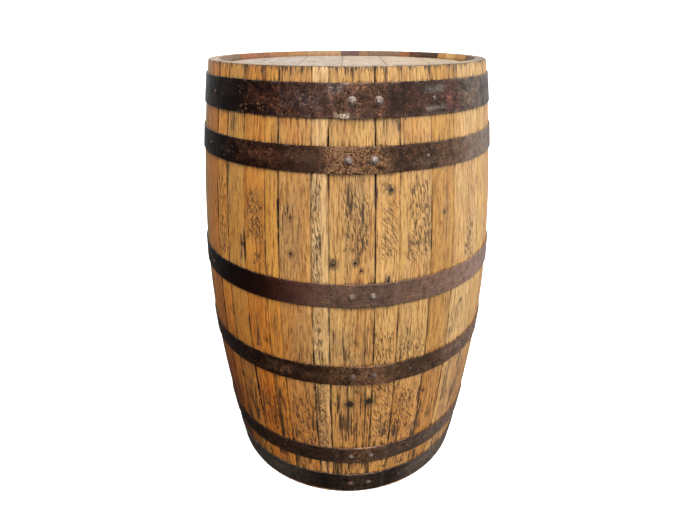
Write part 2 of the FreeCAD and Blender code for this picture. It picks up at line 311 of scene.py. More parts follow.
class Shader:
    """A material's node tree, with a short call for each kind of node."""

    def __init__(self, name, **constants):
        self.material = bpy.data.materials.new(name)
        self.material.use_nodes = True
        self.tree = self.material.node_tree
        self.surface = self.tree.nodes["Principled BSDF"]
        self.put_all(self.surface, constants)

    def put(self, socket, value):
        if isinstance(value, Value):
            self.tree.links.new(value.socket, socket)
        else:
            socket.default_value = value

    def put_all(self, node, named):
        for key, value in named.items():
            self.put(node.inputs[key.replace("_", " ")], value)

    def node(self, kind, inputs=(), output=0, **settings):
        """Adds a node and gives one of its outputs."""
        made = self.tree.nodes.new("ShaderNode" + kind)
        for key, value in settings.items():
            setattr(made, key, value)
        for key, value in dict(inputs).items():
            self.put(made.inputs[key], value)
        return Value(self, made.outputs[output])

    def math(self, operation, *values):
        return self.node("Math", enumerate(values), operation=operation)

    def least(self, first, *others):
        for value in others:
            first = self.math("MINIMUM", first, value)
        return first

    def most(self, first, *others):
        for value in others:
            first = self.math("MAXIMUM", first, value)
        return first

    def vector(self, operation, a, b):
        output = "Value" if operation == "DISTANCE" else "Vector"
        return self.node("VectorMath", {0: a, 1: b}, output, operation=operation)

    def parts(self, vector):
        split = self.node("SeparateXYZ", {0: vector}).socket.node
        return [Value(self, output) for output in split.outputs]

    def join(self, x, y, z):
        return self.node("CombineXYZ", {0: x, 1: y, 2: z})

    def position(self):
        return self.node("TexCoord", output="Object")

    def attribute(self, name, output="Vector"):
        """An attribute of the mesh."""
        return self.node("Attribute", (), output, attribute_name=name)

    def property(self, name, output="Fac"):
        """A custom property of the object."""
        return self.node("Attribute", (), output, attribute_type="OBJECT", attribute_name=name)

    def noise(self, vector, scale, detail=2.0, roughness=0.5):
        inputs = {"Vector": vector, "Scale": scale, "Detail": detail, "Roughness": roughness}
        return self.node("TexNoise", inputs, "Fac")

    def remap(self, value, low, high, to_low=0.0, to_high=1.0):
        """value from low to high, eased into a range; a high below low turns it over."""
        inputs = {0: value, 1: low, 2: high, 3: to_low, 4: to_high}
        return self.node("MapRange", inputs, interpolation_type="SMOOTHSTEP")

    def mix(self, share, a, b, blend="MIX"):
        inputs = {0: share, 6: a, 7: b}
        for index in (6, 7):
            if isinstance(inputs[index], tuple):
                inputs[index] += (1.0,)
        return self.node("Mix", inputs, 2, data_type="RGBA", blend_type=blend, clamp_factor=True)

    def toned(self, colour, share, factors):
        """A colour with its red, green and blue multiplied by factors, over a share."""
        return self.mix(share, colour, factors, "MULTIPLY")

    def bump(self, height, strength, distance):
        return self.node("Bump", {"Height": height, "Strength": strength, "Distance": distance})

    def finish(self, **links):
        self.put_all(self.surface, links)
        return self.material


def srgb(red, green, blue):
    """A colour given as it looks on a screen, from 0 to 255, as the shader wants it."""
    linear = []
    for channel in (red, green, blue):
        share = channel / 255
        linear.append(share / 12.92 if share <= 0.04045 else ((share + 0.055) / 1.055) ** 2.4)
    return tuple(linear)


# ---- Marks on the wood: angle in degrees and height as a share of the barrel's ----

# Iron stains that nails have left, and knots: angle, height, radius in mm, and how faint, from 0
NAIL_STAINS = [
    (1.0, 0.311, 9.4, 0), (8.2, 0.315, 10.0, 0), (-4.3, 0.648, 6.4, 0.3), (2.6, 0.652, 6.0, 0.4),
    (4.6, 0.636, 5.2, 0.35), (13.4, 0.611, 5.4, 0.4), (14.4, 0.79, 6.4, 0.35), (22.0, 0.787, 4.4, 0.5),
    (-18.6, 0.664, 6.4, 0.4), (-18.6, 0.735, 4.2, 0.35), (-53.8, 0.71, 4.6, 0.3),
    (45.8, 0.517, 4.4, 0.3), (30.8, 0.311, 4.6, 0.2), (34.6, 0.734, 5.4, 0.5), (49.8, 0.668, 4.6, 0.45),
    (33.6, 0.557, 4.2, 0.5), (20.4, 0.236, 5.6, 0.35), (24.6, 0.302, 4.6, 0.4), (25.4, 0.089, 4.6, 0.2),
    (16.4, 0.088, 4.6, 0.3), (-32.6, 0.264, 6.0, 0.35), (-40.4, 0.219, 6.0, 0.35),
    (-29.8, 0.453, 6.4, 0.45), (-38.6, 0.661, 4.6, 0.2), (-17.8, 0.309, 5.6, 0.5),
    (3.4, 0.346, 4.4, 0.4), (111.0, 0.655, 5.4, 0), (127.0, 0.32, 6.2, 0), (203.0, 0.64, 6.4, 0.2),
    (246.0, 0.3, 4.8, 0.2), (214.0, 0.79, 5.0, 0.3), (168.0, 0.28, 5.0, 0.3),
]

# Rough sawn patches that the plane has missed: angle, height, half width in degrees, half height,
# and whether the saw's strokes slant (0), stand steep (1) or cross (2)
ROUGH_PATCHES = [
    (14.0, 0.712, 2.9, 0.055, 0), (24.5, 0.735, 4.0, 0.07, 1), (24.0, 0.672, 4.0, 0.025, 0),
    (-32.6, 0.725, 3.6, 0.05, 2), (-31.0, 0.64, 2.5, 0.02, 1), (-9.6, 0.27, 2.2, 0.12, 2),
    (-9.9, 0.48, 1.5, 0.06, 1), (-9.9, 0.68, 1.5, 0.12, 1), (-50.0, 0.7, 3.0, 0.11, 1),
    (49.0, 0.66, 3.0, 0.05, 1), (13.0, 0.29, 4.0, 0.11, 0), (12.5, 0.44, 3.6, 0.06, 1),
    (23.0, 0.42, 5.0, 0.06, 1), (-30.0, 0.25, 3.2, 0.07, 1), (-18.0, 0.25, 3.4, 0.07, 1),
    (22.5, 0.28, 5.0, 0.07, 1), (12.6, 0.795, 1.8, 0.012, 2), (3.0, 0.725, 4.0, 0.06, 1),
    (104.0, 0.64, 4.0, 0.08, 1), (141.0, 0.3, 4.0, 0.09, 0), (189.0, 0.69, 4.0, 0.08, 1),
    (240.0, 0.45, 5.0, 0.06, 2), (262.0, 0.3, 4.0, 0.09, 1),
]

# Weathered patches, grey with black streaks: angle, height, half width, half height, strength
SOOTY_PATCHES = [
    (-19.5, 0.735, 1.6, 0.035, 1.0), (-16.5, 0.69, 2.6, 0.05, 0.8), (-18.5, 0.3, 3.0, 0.08, 0.2),
    (-17.0, 0.47, 3.4, 0.06, 0.7), (-10.4, 0.79, 1.4, 0.035, 1.0), (-9.4, 0.68, 1.2, 0.04, 0.6),
    (-9.0, 0.44, 1.4, 0.05, 0.5), (2.6, 0.77, 3.0, 0.04, 0.8), (4.6, 0.715, 2.0, 0.06, 0.9),
    (0.0, 0.3, 6.0, 0.09, 0.45), (6.0, 0.48, 2.4, 0.05, 0.6), (13.5, 0.36, 3.0, 0.02, 0.7),
    (14.6, 0.225, 1.2, 0.03, 0.9), (27.8, 0.7, 1.4, 0.06, 0.8), (35.5, 0.73, 1.6, 0.06, 0.6),
    (-38.6, 0.66, 1.0, 0.03, 1.2), (-42.0, 0.3, 3.0, 0.08, 0.6), (-34.0, 0.26, 2.4, 0.04, 0.6),
    (-43.0, 0.895, 2.0, 0.02, 0.8), (-24.0, 0.895, 0.9, 0.03, 1.0), (-24.5, 0.795, 1.4, 0.03, 0.4),
    (-46.0, 0.8, 1.0, 0.025, 1.0), (16.0, 0.905, 1.8, 0.01, 1.2), (9.0, 0.79, 0.9, 0.03, 1.2),
    (21.5, 0.47, 1.8, 0.03, 0.8), (44.0, 0.48, 3.0, 0.04, 0.6), (-8.5, 0.11, 2.4, 0.02, 0.4),
    (3.0, 0.11, 5.0, 0.02, 0.4), (122.0, 0.5, 4.0, 0.1, 0.8), (178.0, 0.62, 3.0, 0.08, 0.9),
    (-51.0, 0.3, 2.0, 0.11, 0.4), (-47.6, 0.26, 1.0, 0.16, 0.7), (-41.5, 0.245, 1.6, 0.07, 0.9),
    (-27.2, 0.255, 0.9, 0.08, 1.2), (-36.0, 0.33, 1.2, 0.05, 0.6), (-25.6, 0.47, 1.4, 0.05, 0.6),
    (-25.8, 0.27, 1.7, 0.07, 0.55), (-33.5, 0.47, 1.6, 0.05, 0.8), (-57.0, 0.5, 2.5, 0.12, 0.7),
    (-29.8, 0.12, 2.0, 0.02, 0.9), (20.0, 0.2, 1.2, 0.03, 0.9), (28.0, 0.19, 1.0, 0.04, 0.9),
    (22.0, 0.1, 2.0, 0.015, 0.7), (32.0, 0.095, 1.2, 0.015, 1.0), (43.0, 0.33, 1.6, 0.07, 0.8),
    (52.0, 0.3, 2.0, 0.08, 0.8), (222.0, 0.3, 4.0, 0.08, 0.9), (252.0, 0.65, 3.0, 0.08, 0.8),
    (90.0, 0.28, 4.0, 0.06, 0.8), (13.5, 0.898, 2.6, 0.018, 0.8), (-4.3, 0.65, 1.6, 0.013, 1.1),
    (2.7, 0.654, 1.1, 0.011, 1.0), (13.5, 0.613, 1.2, 0.012, 1.2), (13.6, 0.784, 1.6, 0.01, 1.1),
]

# Joints that stand open, by their angle: lowest and highest height, width in mm
OPEN_JOINTS = {
    -53.7: [(0.86, 1.0, 2.0), (0.05, 0.84, 2.4)],
    -46.5: [(0.05, 0.56, 2.6), (0.6, 0.75, 1.7), (0.75, 0.85, 2.4), (0.85, 1.0, 2.8)],
    -37.4: [(0.88, 1.0, 1.3), (0.05, 0.5, 2.0), (0.2, 0.38, 4.2), (0.625, 0.68, 2.8)],
    -28.3: [(0.77, 0.86, 0.9), (0.05, 0.8, 0.8)],
    -23.0: [(0.05, 0.42, 1.4), (0.6, 0.68, 0.9), (0.68, 0.77, 2.6), (0.77, 1.0, 1.2)],
    -11.6: [(0.08, 0.45, 1.5), (0.1, 0.9, 0.5)], -6.0: [(0.79, 0.9, 2.0), (0.05, 0.6, 1.3)],
    9.1: [(0.6, 0.78, 1.3), (0.78, 1.0, 1.9), (0.05, 0.55, 1.3)],
    17.3: [(0.86, 0.95, 0.8), (0.08, 0.56, 1.1)],
    29.2: [(0.725, 0.765, 2.0), (0.66, 0.7, 2.2), (0.08, 0.6, 1.2)], 39.4: [(0.15, 0.6, 0.8)],
    98.5: [(0.3, 0.9, 1.2)], 124.5: [(0.1, 1.0, 0.9)], 173.25: [(0.2, 0.8, 1.4)],
    214.7: [(0.05, 0.95, 1.3)], 248.4: [(0.3, 1.0, 0.9)], 277.4: [(0.1, 0.7, 1.1)],
}

# Each stave's colour, then how streaky and how open-grained it is, from 0 to 1
STAVE_LOOKS = {
    1: ((219, 141, 59), 0.42, 0.7), 2: ((240, 165, 76), 0.45, 0.9), 3: ((221, 163, 84), 0.55, 0.8),
    4: ((220, 149, 66), 0.45, 0.8), 5: ((223, 161, 77), 0.38, 0.8), 6: ((213, 158, 92), 0.7, 1.0),
    7: ((230, 188, 130), 0.4, 0.8), 8: ((209, 162, 99), 0.85, 1.0), 9: ((215, 167, 101), 0.45, 0.8),
    10: ((206, 160, 96), 0.45, 0.9), 11: ((191, 141, 69), 0.42, 0.9), 12: ((212, 170, 108), 0.4, 0.9),
    13: ((206, 160, 88), 0.4, 0.8),
}
OTHER_WOODS = [
    (204, 152, 84), (210, 164, 98), (196, 142, 74), (206, 160, 94), (212, 168, 104), (200, 148, 82),
]

# The inside of the rim is not varnished: each stave's colour there; stave 18's pale cream is partly
# painted highlight
CHIME_WOODS = {
    14: (112, 92, 70), 15: (96, 84, 62), 16: (118, 84, 56), 17: (206, 152, 82), 18: (236, 190, 120),
    19: (214, 160, 92), 20: (84, 56, 42), 21: (104, 66, 44), 22: (166, 108, 66), 23: (146, 116, 92),
    24: (158, 118, 82), 25: (112, 82, 76), 26: (182, 142, 98), 27: (176, 138, 98), 28: (172, 128, 84),
    29: (162, 114, 72), 30: (146, 98, 66), 31: (156, 100, 68), 32: (128, 104, 82), 33: (134, 110, 86),
    34: (130, 104, 80), 35: (140, 112, 84), 36: (146, 116, 84),
}
OTHER_CHIME = (172, 132, 92)

# ---- Materials ----

# Patterns along the grain: how fine across it and along it, detail and roughness
GRAIN_PATTERNS = {
    "blotches": (17, 5.5, 3.0, 0.6),
    "broad": (44, 2.6, 2.0, 0.6),
    "lines": (290, 24.0, 3.0, 0.65),
    "thin": (500, 60, 3.0, 0.7),
    "dashes": (300, 40, 2.0, 0.6),
    "streaks": (190, 11, 4.0, 0.65),
    "patches": (26, 8, 3.0, 0.6),
    "ticks": (430, 9, 3.0, 0.65),
}

# A saw's strokes that slant, stand steep and cross: how far they lean, how fine across and along
SAW_STROKES = ((0.75, 330.0, 70.0), (0.16, 340.0, 80.0), (-0.62, 320.0, 90.0))

HOOP_BANDS = [hoop_band(node) for node in HOOPS]


def wood_grain(s, waviness):
    """The grain's coordinates, bent a little, and the patterns that lie along them."""
    moved = s.vector("ADD", s.attribute("grain"), s.property("shift", "Vector"))
    slow = s.noise(moved * (22, 22, 5), 1.0, 1.0)
    x, y, z = s.parts(moved)
    bent = s.join(x + (slow - 0.5) * waviness, y, z)
    patterns = {}
    for name, (across, along, detail, roughness) in GRAIN_PATTERNS.items():
        patterns[name] = s.noise(bent * (across, across, along), 1.0, detail, roughness)
    return bent, patterns


def saw_marks(s, bent):
    """Grooves, from 0 to 1, where a coarse saw has left its strokes."""
    slanting, steep, crossing = s.parts(s.attribute("rough"))
    x, _, z = s.parts(bent)
    shown = (s.most(slanting, crossing), steep, crossing)
    marks = []
    for order, (lean, across, along) in enumerate(SAW_STROKES):
        place = s.join((z * lean + x) * across, 5.0 * order, z * along)
        marks.append(shown[order] * s.remap(s.noise(place, 1.0), 0.49, 0.60))
    return s.most(*marks)


def nail_stains(s, position):
    """1 inside a stain, fading to 0 over a ragged edge."""
    spread = []
    for angle, share, radius, faint in NAIL_STAINS:
        centre = tuple(float(v) for v in on_shell(angle, share))
        spread.append(s.vector("DISTANCE", position, centre) / (radius * MM) + faint)
    nearest = s.least(*spread) + s.noise(position, 220.0) * 0.9
    core = s.remap(nearest, 1.62, 1.10, 0.0, 0.95)
    halo = s.remap(nearest, 2.8, 1.3, 0.0, 0.42)
    return s.most(core, halo)


def hoop_distance(s, z):
    """How far a height is from the nearest edge of a hoop."""
    return s.least(*(abs(abs(z - middle) - width / 2) for middle, width in HOOP_BANDS))


def edge_soot_and_shadow(s, g, z, from_end):
    """Dark ticks and cracks at the ends, a thin dark line along each hoop's edges that is painted
    shadow and dirt, and stains beside the hoops.
    """
    ticks = s.remap(g["ticks"], 0.46, 0.72) * 0.012
    cracks = s.remap(g["broad"], 0.54, 0.66) * s.remap(g["ticks"], 0.40, 0.62)
    reach = s.most(ticks, cracks * 0.024) + 0.0022
    end_marks = s.remap(from_end - reach, 0.001, -0.003)
    hoop_gap = hoop_distance(s, z)
    # Painted shadow with dirt: a thin dark line within 3 mm of each hoop's edges, broken by the grain
    hoop_marks = s.remap(hoop_gap, 0.003, 0.0005) * s.remap(g["lines"], 0.46, 0.60)
    hoop_stain = s.remap(hoop_gap, 0.014, 0.0) * s.remap(g["streaks"], 0.54, 0.66)
    return s.most(end_marks * 0.85, hoop_marks * 0.6, hoop_stain * 0.6)


def end_grain(s, position):
    """The colour of the staves' sawn ends: speckled, and greyer on the right."""
    speckle = s.noise(position, 420.0, 3.0, 0.7)
    colour = s.mix(s.remap(speckle, 0.40, 0.64), srgb(184, 164, 140), srgb(100, 84, 68))
    grey = s.remap(s.noise(position, 34.0), 0.54, 0.66, 0.0, 0.7)
    grey = s.most(grey, s.remap(s.parts(position)[0], 0.18, 0.25, 0.0, 0.65))
    return s.mix(grey, colour, srgb(84, 76, 64))


def stave_inside(s, g, from_end):
    """The colour inside: bare wood at the rim, charred beyond the head."""
    thin = s.remap(g["thin"], 0.40, 0.66, 0.0, 0.7)
    chime = s.toned(s.property("chime", "Color"), thin, (0.45, 0.34, 0.26))
    return s.mix(s.remap(from_end, 0.012, 0.020), chime, srgb(34, 26, 20))


def stave_material():
    s = Shader("stave_oak", IOR=1.5, Coat_Weight=0.12, Coat_Roughness=0.3)
    position = s.position()
    shade, orange, low = s.parts(s.attribute("foot"))
    _, depth, z = s.parts(s.attribute("grain"))
    from_end = s.least(HEIGHT - z, z)
    bent, g = wood_grain(s, 0.004)

    # Colour that comes with the wood
    colour = s.property("tint", "Color")
    colour = s.toned(colour, s.remap(g["blotches"], 0.50, 0.68, 0.0, 0.6), (0.92, 0.74, 0.50))
    colour = s.toned(colour, s.remap(g["blotches"], 0.46, 0.32, 0.0, 0.5), (1.06, 1.08, 0.92))
    colour = s.toned(colour, s.remap(g["broad"], 0.48, 0.68, 0.0, 0.4), (0.80, 0.68, 0.54))
    grained = s.property("open_grained") * 0.65 + 0.25
    deep = s.remap(g["lines"], 0.50, 0.66) * grained
    light = s.remap(g["lines"], 0.47, 0.33) * grained
    thin = s.remap(g["thin"], 0.50, 0.68) * grained
    colour = s.toned(colour, deep, (0.46, 0.33, 0.22))
    colour = s.toned(colour, light, (1.28, 1.28, 1.24))
    colour = s.toned(colour, thin, (0.44, 0.33, 0.24))

    # Weather, which fades the wood and opens dark streaks in it, with a thin painted shadow and dirt
    # along the hoops' edges, the lower half toned and darkened with painted shade, and nail stains
    patchy = s.remap(g["patches"], 0.47, 0.66) * s.property("streaky")
    weathered = s.most(patchy, s.attribute("sooty", "Fac"))
    faded = s.mix(0.5, colour, srgb(134, 110, 84))
    colour = s.mix(weathered * 0.6, colour, faded)
    dirty = weathered * 0.13 + low * 0.088
    streaks = s.remap(g["streaks"] - (0.66 - dirty), 0.0, 0.07)
    dashes = s.remap(g["dashes"] - (0.72 - dirty), 0.0, 0.05)
    soot_and_shadow = s.most(streaks * 0.85, dashes * 0.85, saw_marks(s, bent) * 0.76)
    # Soot and marks at the ends, with the painted shadow line along the hoops
    soot_and_shadow = s.most(soot_and_shadow, edge_soot_and_shadow(s, g, z, from_end))
    # The lower half redder and darker in green and blue, the lower left more orange, and painted shade
    # on the lower left and a little on the lower right
    colour = s.toned(colour, low * 0.42, (1.14, 0.80, 0.46))
    colour = s.toned(colour, orange, (0.98, 0.82, 0.62))
    colour = s.toned(colour, shade, (0.26, 0.23, 0.26))
    colour = s.mix(soot_and_shadow, colour, srgb(28, 18, 14))
    colour = s.mix(nail_stains(s, position), colour, srgb(15, 11, 11))

    # Ends, inside and joints
    end = s.attribute("end", "Fac")
    inside = s.remap(depth, 0.55 * STAVE_THICKNESS, 0.8 * STAVE_THICKNESS)
    colour = s.mix(end, colour, end_grain(s, position))
    colour = s.mix(inside * (1.0 - end), colour, stave_inside(s, g, from_end))
    ragged = s.remap(s.noise(position, 60.0, 4.0, 0.7), 0.36, 0.56, 0.35, 1.0)
    colour = s.mix(s.attribute("crack", "Fac") * ragged, colour, srgb(24, 17, 13))

    roughness = soot_and_shadow * 0.2 + 0.42 + s.most(end, inside) * 0.3
    height = light * 0.35 - deep * 0.5 - soot_and_shadow * 0.9 - thin * 0.3
    return s.finish(Base_Color=colour, Roughness=roughness, Normal=s.bump(height, 0.7, 0.0012))


def head_material():
    s = Shader("head_oak", IOR=1.48)
    g = wood_grain(s, 0.010)[1]
    colour = s.property("tint", "Color")
    colour = s.toned(colour, s.remap(g["broad"], 0.36, 0.66, 0.0, 0.6), (0.84, 0.76, 0.68))
    colour = s.toned(colour, s.remap(g["lines"], 0.46, 0.66, 0.0, 0.65), (0.68, 0.60, 0.52))
    colour = s.toned(colour, s.remap(g["thin"], 0.50, 0.70, 0.0, 0.55), (0.46, 0.38, 0.30))
    pale = s.remap(s.noise(s.position(), 19.0, 4.0, 0.65), 0.44, 0.68, 0.0, 0.4)
    colour = s.mix(pale, colour, srgb(178, 168, 156))
    dirt = s.remap(g["streaks"], 0.60, 0.70) * s.remap(g["patches"], 0.46, 0.64)
    dirt = s.most(dirt, s.attribute("crack", "Fac") * 0.7)
    colour = s.mix(dirt * 0.75, colour, srgb(58, 46, 38))
    roughness = s.remap(g["thin"], 0.3, 0.7, 0.62, 0.82)
    height = g["lines"] * -0.6 - dirt * 0.5 - g["thin"] * 0.5
    return s.finish(Base_Color=colour, Roughness=roughness, Normal=s.bump(height, 0.5, 0.0009))


def plain_wood_material(name, light, deep):
    """Wood with no coordinates of its own, such as a bung or a dowel: its grain runs along X."""
    s = Shader(name, IOR=1.48)
    position = s.position()
    lined = s.noise(position * (26, 420, 420), 1.0, 4.0, 0.65)
    slow = s.noise(position * (9, 60, 60), 1.0)
    colour = s.mix(s.remap(lined, 0.36, 0.68), light, deep)
    colour = s.toned(colour, s.remap(slow, 0.42, 0.66, 0.0, 0.55), (0.70, 0.58, 0.46))
    roughness = s.remap(lined, 0.3, 0.7, 0.5, 0.72)
    return s.finish(Base_Color=colour, Roughness=roughness, Normal=s.bump(lined, 0.35, 0.0006))


def hoop_rust(s, position, rusty, speck, mottle):
    """Where rust shows, from 0 to 1: in clusters, and as a honeycomb near the lap."""
    cluster = s.remap(s.noise(position, 38.0, 3.0, 0.6), 0.44, 0.60)
    rust = s.remap(speck - (0.80 - rusty * cluster * 0.29), -0.01, 0.05)
    cells = {"Vector": position, "Scale": 240.0}
    from_wall = s.node("TexVoronoi", cells, "Distance", feature="DISTANCE_TO_EDGE")
    walls = s.remap(from_wall, 0.24, 0.08) * s.remap(speck, 0.36, 0.50)
    return s.most(rust, walls * s.attribute("comb", "Fac") * s.remap(mottle, 0.38, 0.52))


def hoop_material():
    s = Shader("hoop_steel", IOR=1.5)
    position = s.position()
    run = s.attribute("run")
    rusty = s.attribute("rust", "Fac")
    shade = s.attribute("shade")
    broad = s.noise(position, 11.0, 3.0)
    mottle = s.noise(position, 62.0, 4.0, 0.65)
    speck = s.noise(position, 340.0, 3.0, 0.7)
    grit = s.noise(position, 1100.0, 2.0, 0.6)
    blotch = s.noise(position, 92.0, 3.0, 0.6)
    rolled = s.noise(run * (9, 260, 1), 1.0, 3.0, 0.65)
    wiped = s.noise(run * (22, 330, 1), 1.0, 3.0, 0.6)

    # Rolled and mottled steel under painted light and shade along the hoop, with smears of other
    # colours and patches of painted sheen on it
    # Painted light and shade along the hoop, from the shade attribute
    colour = s.toned(s.property("tint", "Color"), 1.0, shade)
    colour = s.toned(colour, s.remap(broad, 0.36, 0.64), (1.28, 1.20, 1.12))
    colour = s.toned(colour, s.remap(mottle, 0.46, 0.68, 0.0, 0.8), (0.56, 0.50, 0.48))
    colour = s.toned(colour, s.remap(rolled, 0.50, 0.72, 0.0, 0.6), (1.5, 1.42, 1.36))
    broken = wiped * 0.6 + speck * 0.9
    # Smears of other colours, and patches of painted grey sheen
    smear_and_sheen = s.attribute("marked", "Fac") * s.remap(broken, 0.64, 0.86, 0.4, 1.0)
    colour = s.mix(smear_and_sheen, colour, s.attribute("mark_colour"))

    # Pits, dust and rust
    pitted = s.remap(blotch, 0.47, 0.38) * rusty
    bloom = s.remap(blotch, 0.53, 0.63) * rusty
    dusty = s.remap(speck, 0.51, 0.63) * s.remap(mottle, 0.56, 0.40, 0.25, 1.0)
    dusty = dusty * s.remap(rusty, 0.0, 0.7, 0.12, 1.0)
    colour = s.toned(colour, s.remap(grit, 0.52, 0.74, 0.0, 0.45), (0.5, 0.46, 0.44))
    colour = s.toned(colour, s.remap(speck, 0.48, 0.34, 0.0, 0.8), (0.42, 0.38, 0.38))
    colour = s.toned(colour, pitted, (0.30, 0.28, 0.28))
    colour = s.toned(colour, bloom, (2.2, 2.0, 1.8))
    colour = s.toned(colour, dusty, (3.4, 2.7, 2.2))
    rust = hoop_rust(s, position, rusty, speck, mottle)
    rust_colour = s.mix(s.remap(grit, 0.38, 0.62), srgb(210, 160, 108), srgb(138, 86, 50))
    film = rusty * s.remap(mottle, 0.52, 0.36) * 0.45
    film = film * s.remap(s.parts(shade)[0], 0.1, 0.7, 0.25, 1.0)
    colour = s.mix(film, colour, srgb(92, 52, 34))
    colour = s.mix(rust * 0.85, colour, rust_colour)

    bare = s.attribute("edge", "Fac") * s.remap(s.noise(position, 95.0, 3.0, 0.6), 0.46, 0.66)
    colour = s.mix(bare * 0.4, colour, srgb(158, 148, 138))
    metallic = 0.85 - s.most(rust, smear_and_sheen * 0.6) * 0.75
    roughness = 0.36 + rust * 0.34 + s.remap(mottle, 0.35, 0.7) * 0.14
    height = mottle * 1.2 + speck * 0.5 + s.most(rust, grit) * 0.25
    looks = {"Metallic": metallic, "Roughness": roughness, "Normal": s.bump(height, 0.30, 0.0008)}
    return s.finish(Base_Color=colour, **looks)


def small_steel_material(name, body, worn, metal):
    """Steel of rivets and screws: bright where it stands out, partly worn and partly painted highlight,
    rusty in the hollows.
    """
    s = Shader(name, IOR=1.5)
    position = s.position()
    pits = s.noise(position, 640.0, 3.0, 0.65)
    mottle = s.noise(position, 190.0, 3.0, 0.6)
    colour = s.mix(s.remap(mottle, 0.36, 0.64), body, srgb(98, 58, 40))
    shine = s.attribute("high", "Fac") * s.remap(pits + mottle * 0.6, 0.94, 0.72)
    colour = s.mix(shine, colour, worn)
    metallic = (0.3 + shine * 0.7) * metal
    roughness = 0.68 - shine * 0.24
    looks = {"Metallic": metallic, "Roughness": roughness, "Normal": s.bump(pits, 0.5, 0.0005)}
    return s.finish(Base_Color=colour, **looks)


def backdrop_material(name, glow):
    s = Shader(name, Roughness=0.8, Emission_Strength=glow, Emission_Color=(1.0, 1.0, 1.0, 1.0))
    return s.finish(Base_Color=srgb(226, 226, 226) + (1.0,))


# ---- Staves ----

# Distance from an end, and how thick a stave is there
END_THICKNESS = np.array([
    (0, RIM_WIDTH),
    (CHIME_BEVEL, STAVE_THICKNESS),
    (CROZE_MOUTH - CROZE_CLEARANCE - CROZE_OUTER_TAPER, STAVE_THICKNESS),
    (CROZE_MOUTH - CROZE_CLEARANCE, STAVE_THICKNESS - CROZE_DEPTH),
    (CROZE_MOUTH + TONGUE_THICKNESS + CROZE_CLEARANCE, STAVE_THICKNESS - CROZE_DEPTH),
    (CROZE_MOUTH + TONGUE_THICKNESS + CROZE_CLEARANCE + CROZE_INNER_TAPER, STAVE_THICKNESS),
])

# Rows of points: those near an end, how far the face is eased at the first ones, and the others
END_ROWS = np.array([0, 0.45, 1.3, 3, 5.5, 9, 11.3, 12.3, 19.7, 22.9, 28, 34]) * MM
END_EASING = np.array([1.2, 0.5, 0]) * MM
MIDDLE_ROWS = np.arange(40 * MM, HEIGHT - 38 * MM, 6 * MM)
COLUMN_STEP = 3.4 * MM

# Columns of points beside a joint: how far the face is eased there, and how dark it is
EDGE_COLUMNS = np.array([0, 0.7, 1.8, 3.6]) * MM
EDGE_EASING = np.array([0.9, 0.35, 0.08, 0]) * MM
EDGE_DARKNESS = (1, 0.75, 0.25, 0)

# Layers of points from the outside to the inside, as shares of the thickness
LAYER_SHARES = (0, 0.10, 0.35, 0.70, 1)
JOINT_DEPTH = 0.6
CLOSED_JOINT = 0.12 * MM

# Round the bung's hole: a band of closer rows, and the square of cells that turns into the hole
HOLE_BAND = 48 * MM
HOLE_ROWS = 31
HOLE_BLOCK = 21 * MM
HOLE_REACH = 1.9


def stave_rows(bung_height=None):
    middle = MIDDLE_ROWS
    if bung_height:
        low, high = bung_height - HOLE_BAND, bung_height + HOLE_BAND
        middle = middle[(middle < low) | (middle > high)]
        middle = np.sort(np.append(middle, np.linspace(low, high, HOLE_ROWS)))
    return np.concatenate([END_ROWS, middle, (HEIGHT - END_ROWS)[::-1]])


def stave_columns(width):
    count = max(3, int(round((width - 2 * EDGE_COLUMNS[-1]) / COLUMN_STEP)))
    middle = np.linspace(EDGE_COLUMNS[-1], width - EDGE_COLUMNS[-1], count + 1)[1:-1]
    return np.concatenate([EDGE_COLUMNS, middle, (width - EDGE_COLUMNS)[::-1]]) / width


def joint_opening(angle, z):
    """How wide the joint at an angle in radians stands open at each height."""
    width = np.full_like(z, CLOSED_JOINT)
    for place, openings in OPEN_JOINTS.items():
        if degrees_apart(math.degrees(angle), place) > 0.6:
            continue
        wander = 0.68 + 0.32 * noise(z * 30, 0, int(place) + JOINT_SEED)
        for low, high, gap in openings:
            inside = smooth_step(z / HEIGHT, low - 0.012, low + 0.012)
            inside = inside * smooth_step(-z / HEIGHT, -high - 0.012, -high + 0.012)
            width = np.maximum(width, gap * MM * inside * wander)
    return width


def patch_mask(angle, z, place, seed):
    """1 inside a patch given as angle, height, half width and half height, with a ragged edge."""
    centre, share, half_width, half_height = place
    degrees = np.degrees(angle)
    across = degrees_apart(degrees, centre) / half_width
    along = np.abs(z / HEIGHT - share) / half_height
    ragged = 0.3 * noise(degrees * 1.3, z * 50, seed)
    return smooth_step(-np.maximum(across, along) + ragged, -1.15, -0.75)


def rough_patches(angle, z):
    """How strongly the saw's slanting, steep and crossing strokes show, from 0 to 1."""
    rough = np.zeros(angle.shape + (3,))
    for seed, (*place, kind) in enumerate(ROUGH_PATCHES, ROUGH_SEED):
        mask = patch_mask(angle, z, place, seed)
        rough[..., kind] = np.maximum(rough[..., kind], mask)
    return rough


def sooty_patches(angle, z):
    sooty = np.zeros(angle.shape)
    for seed, (*place, strength) in enumerate(SOOTY_PATCHES, SOOTY_SEED):
        sooty = np.maximum(sooty, strength * patch_mask(angle, z, place, seed))
    return sooty


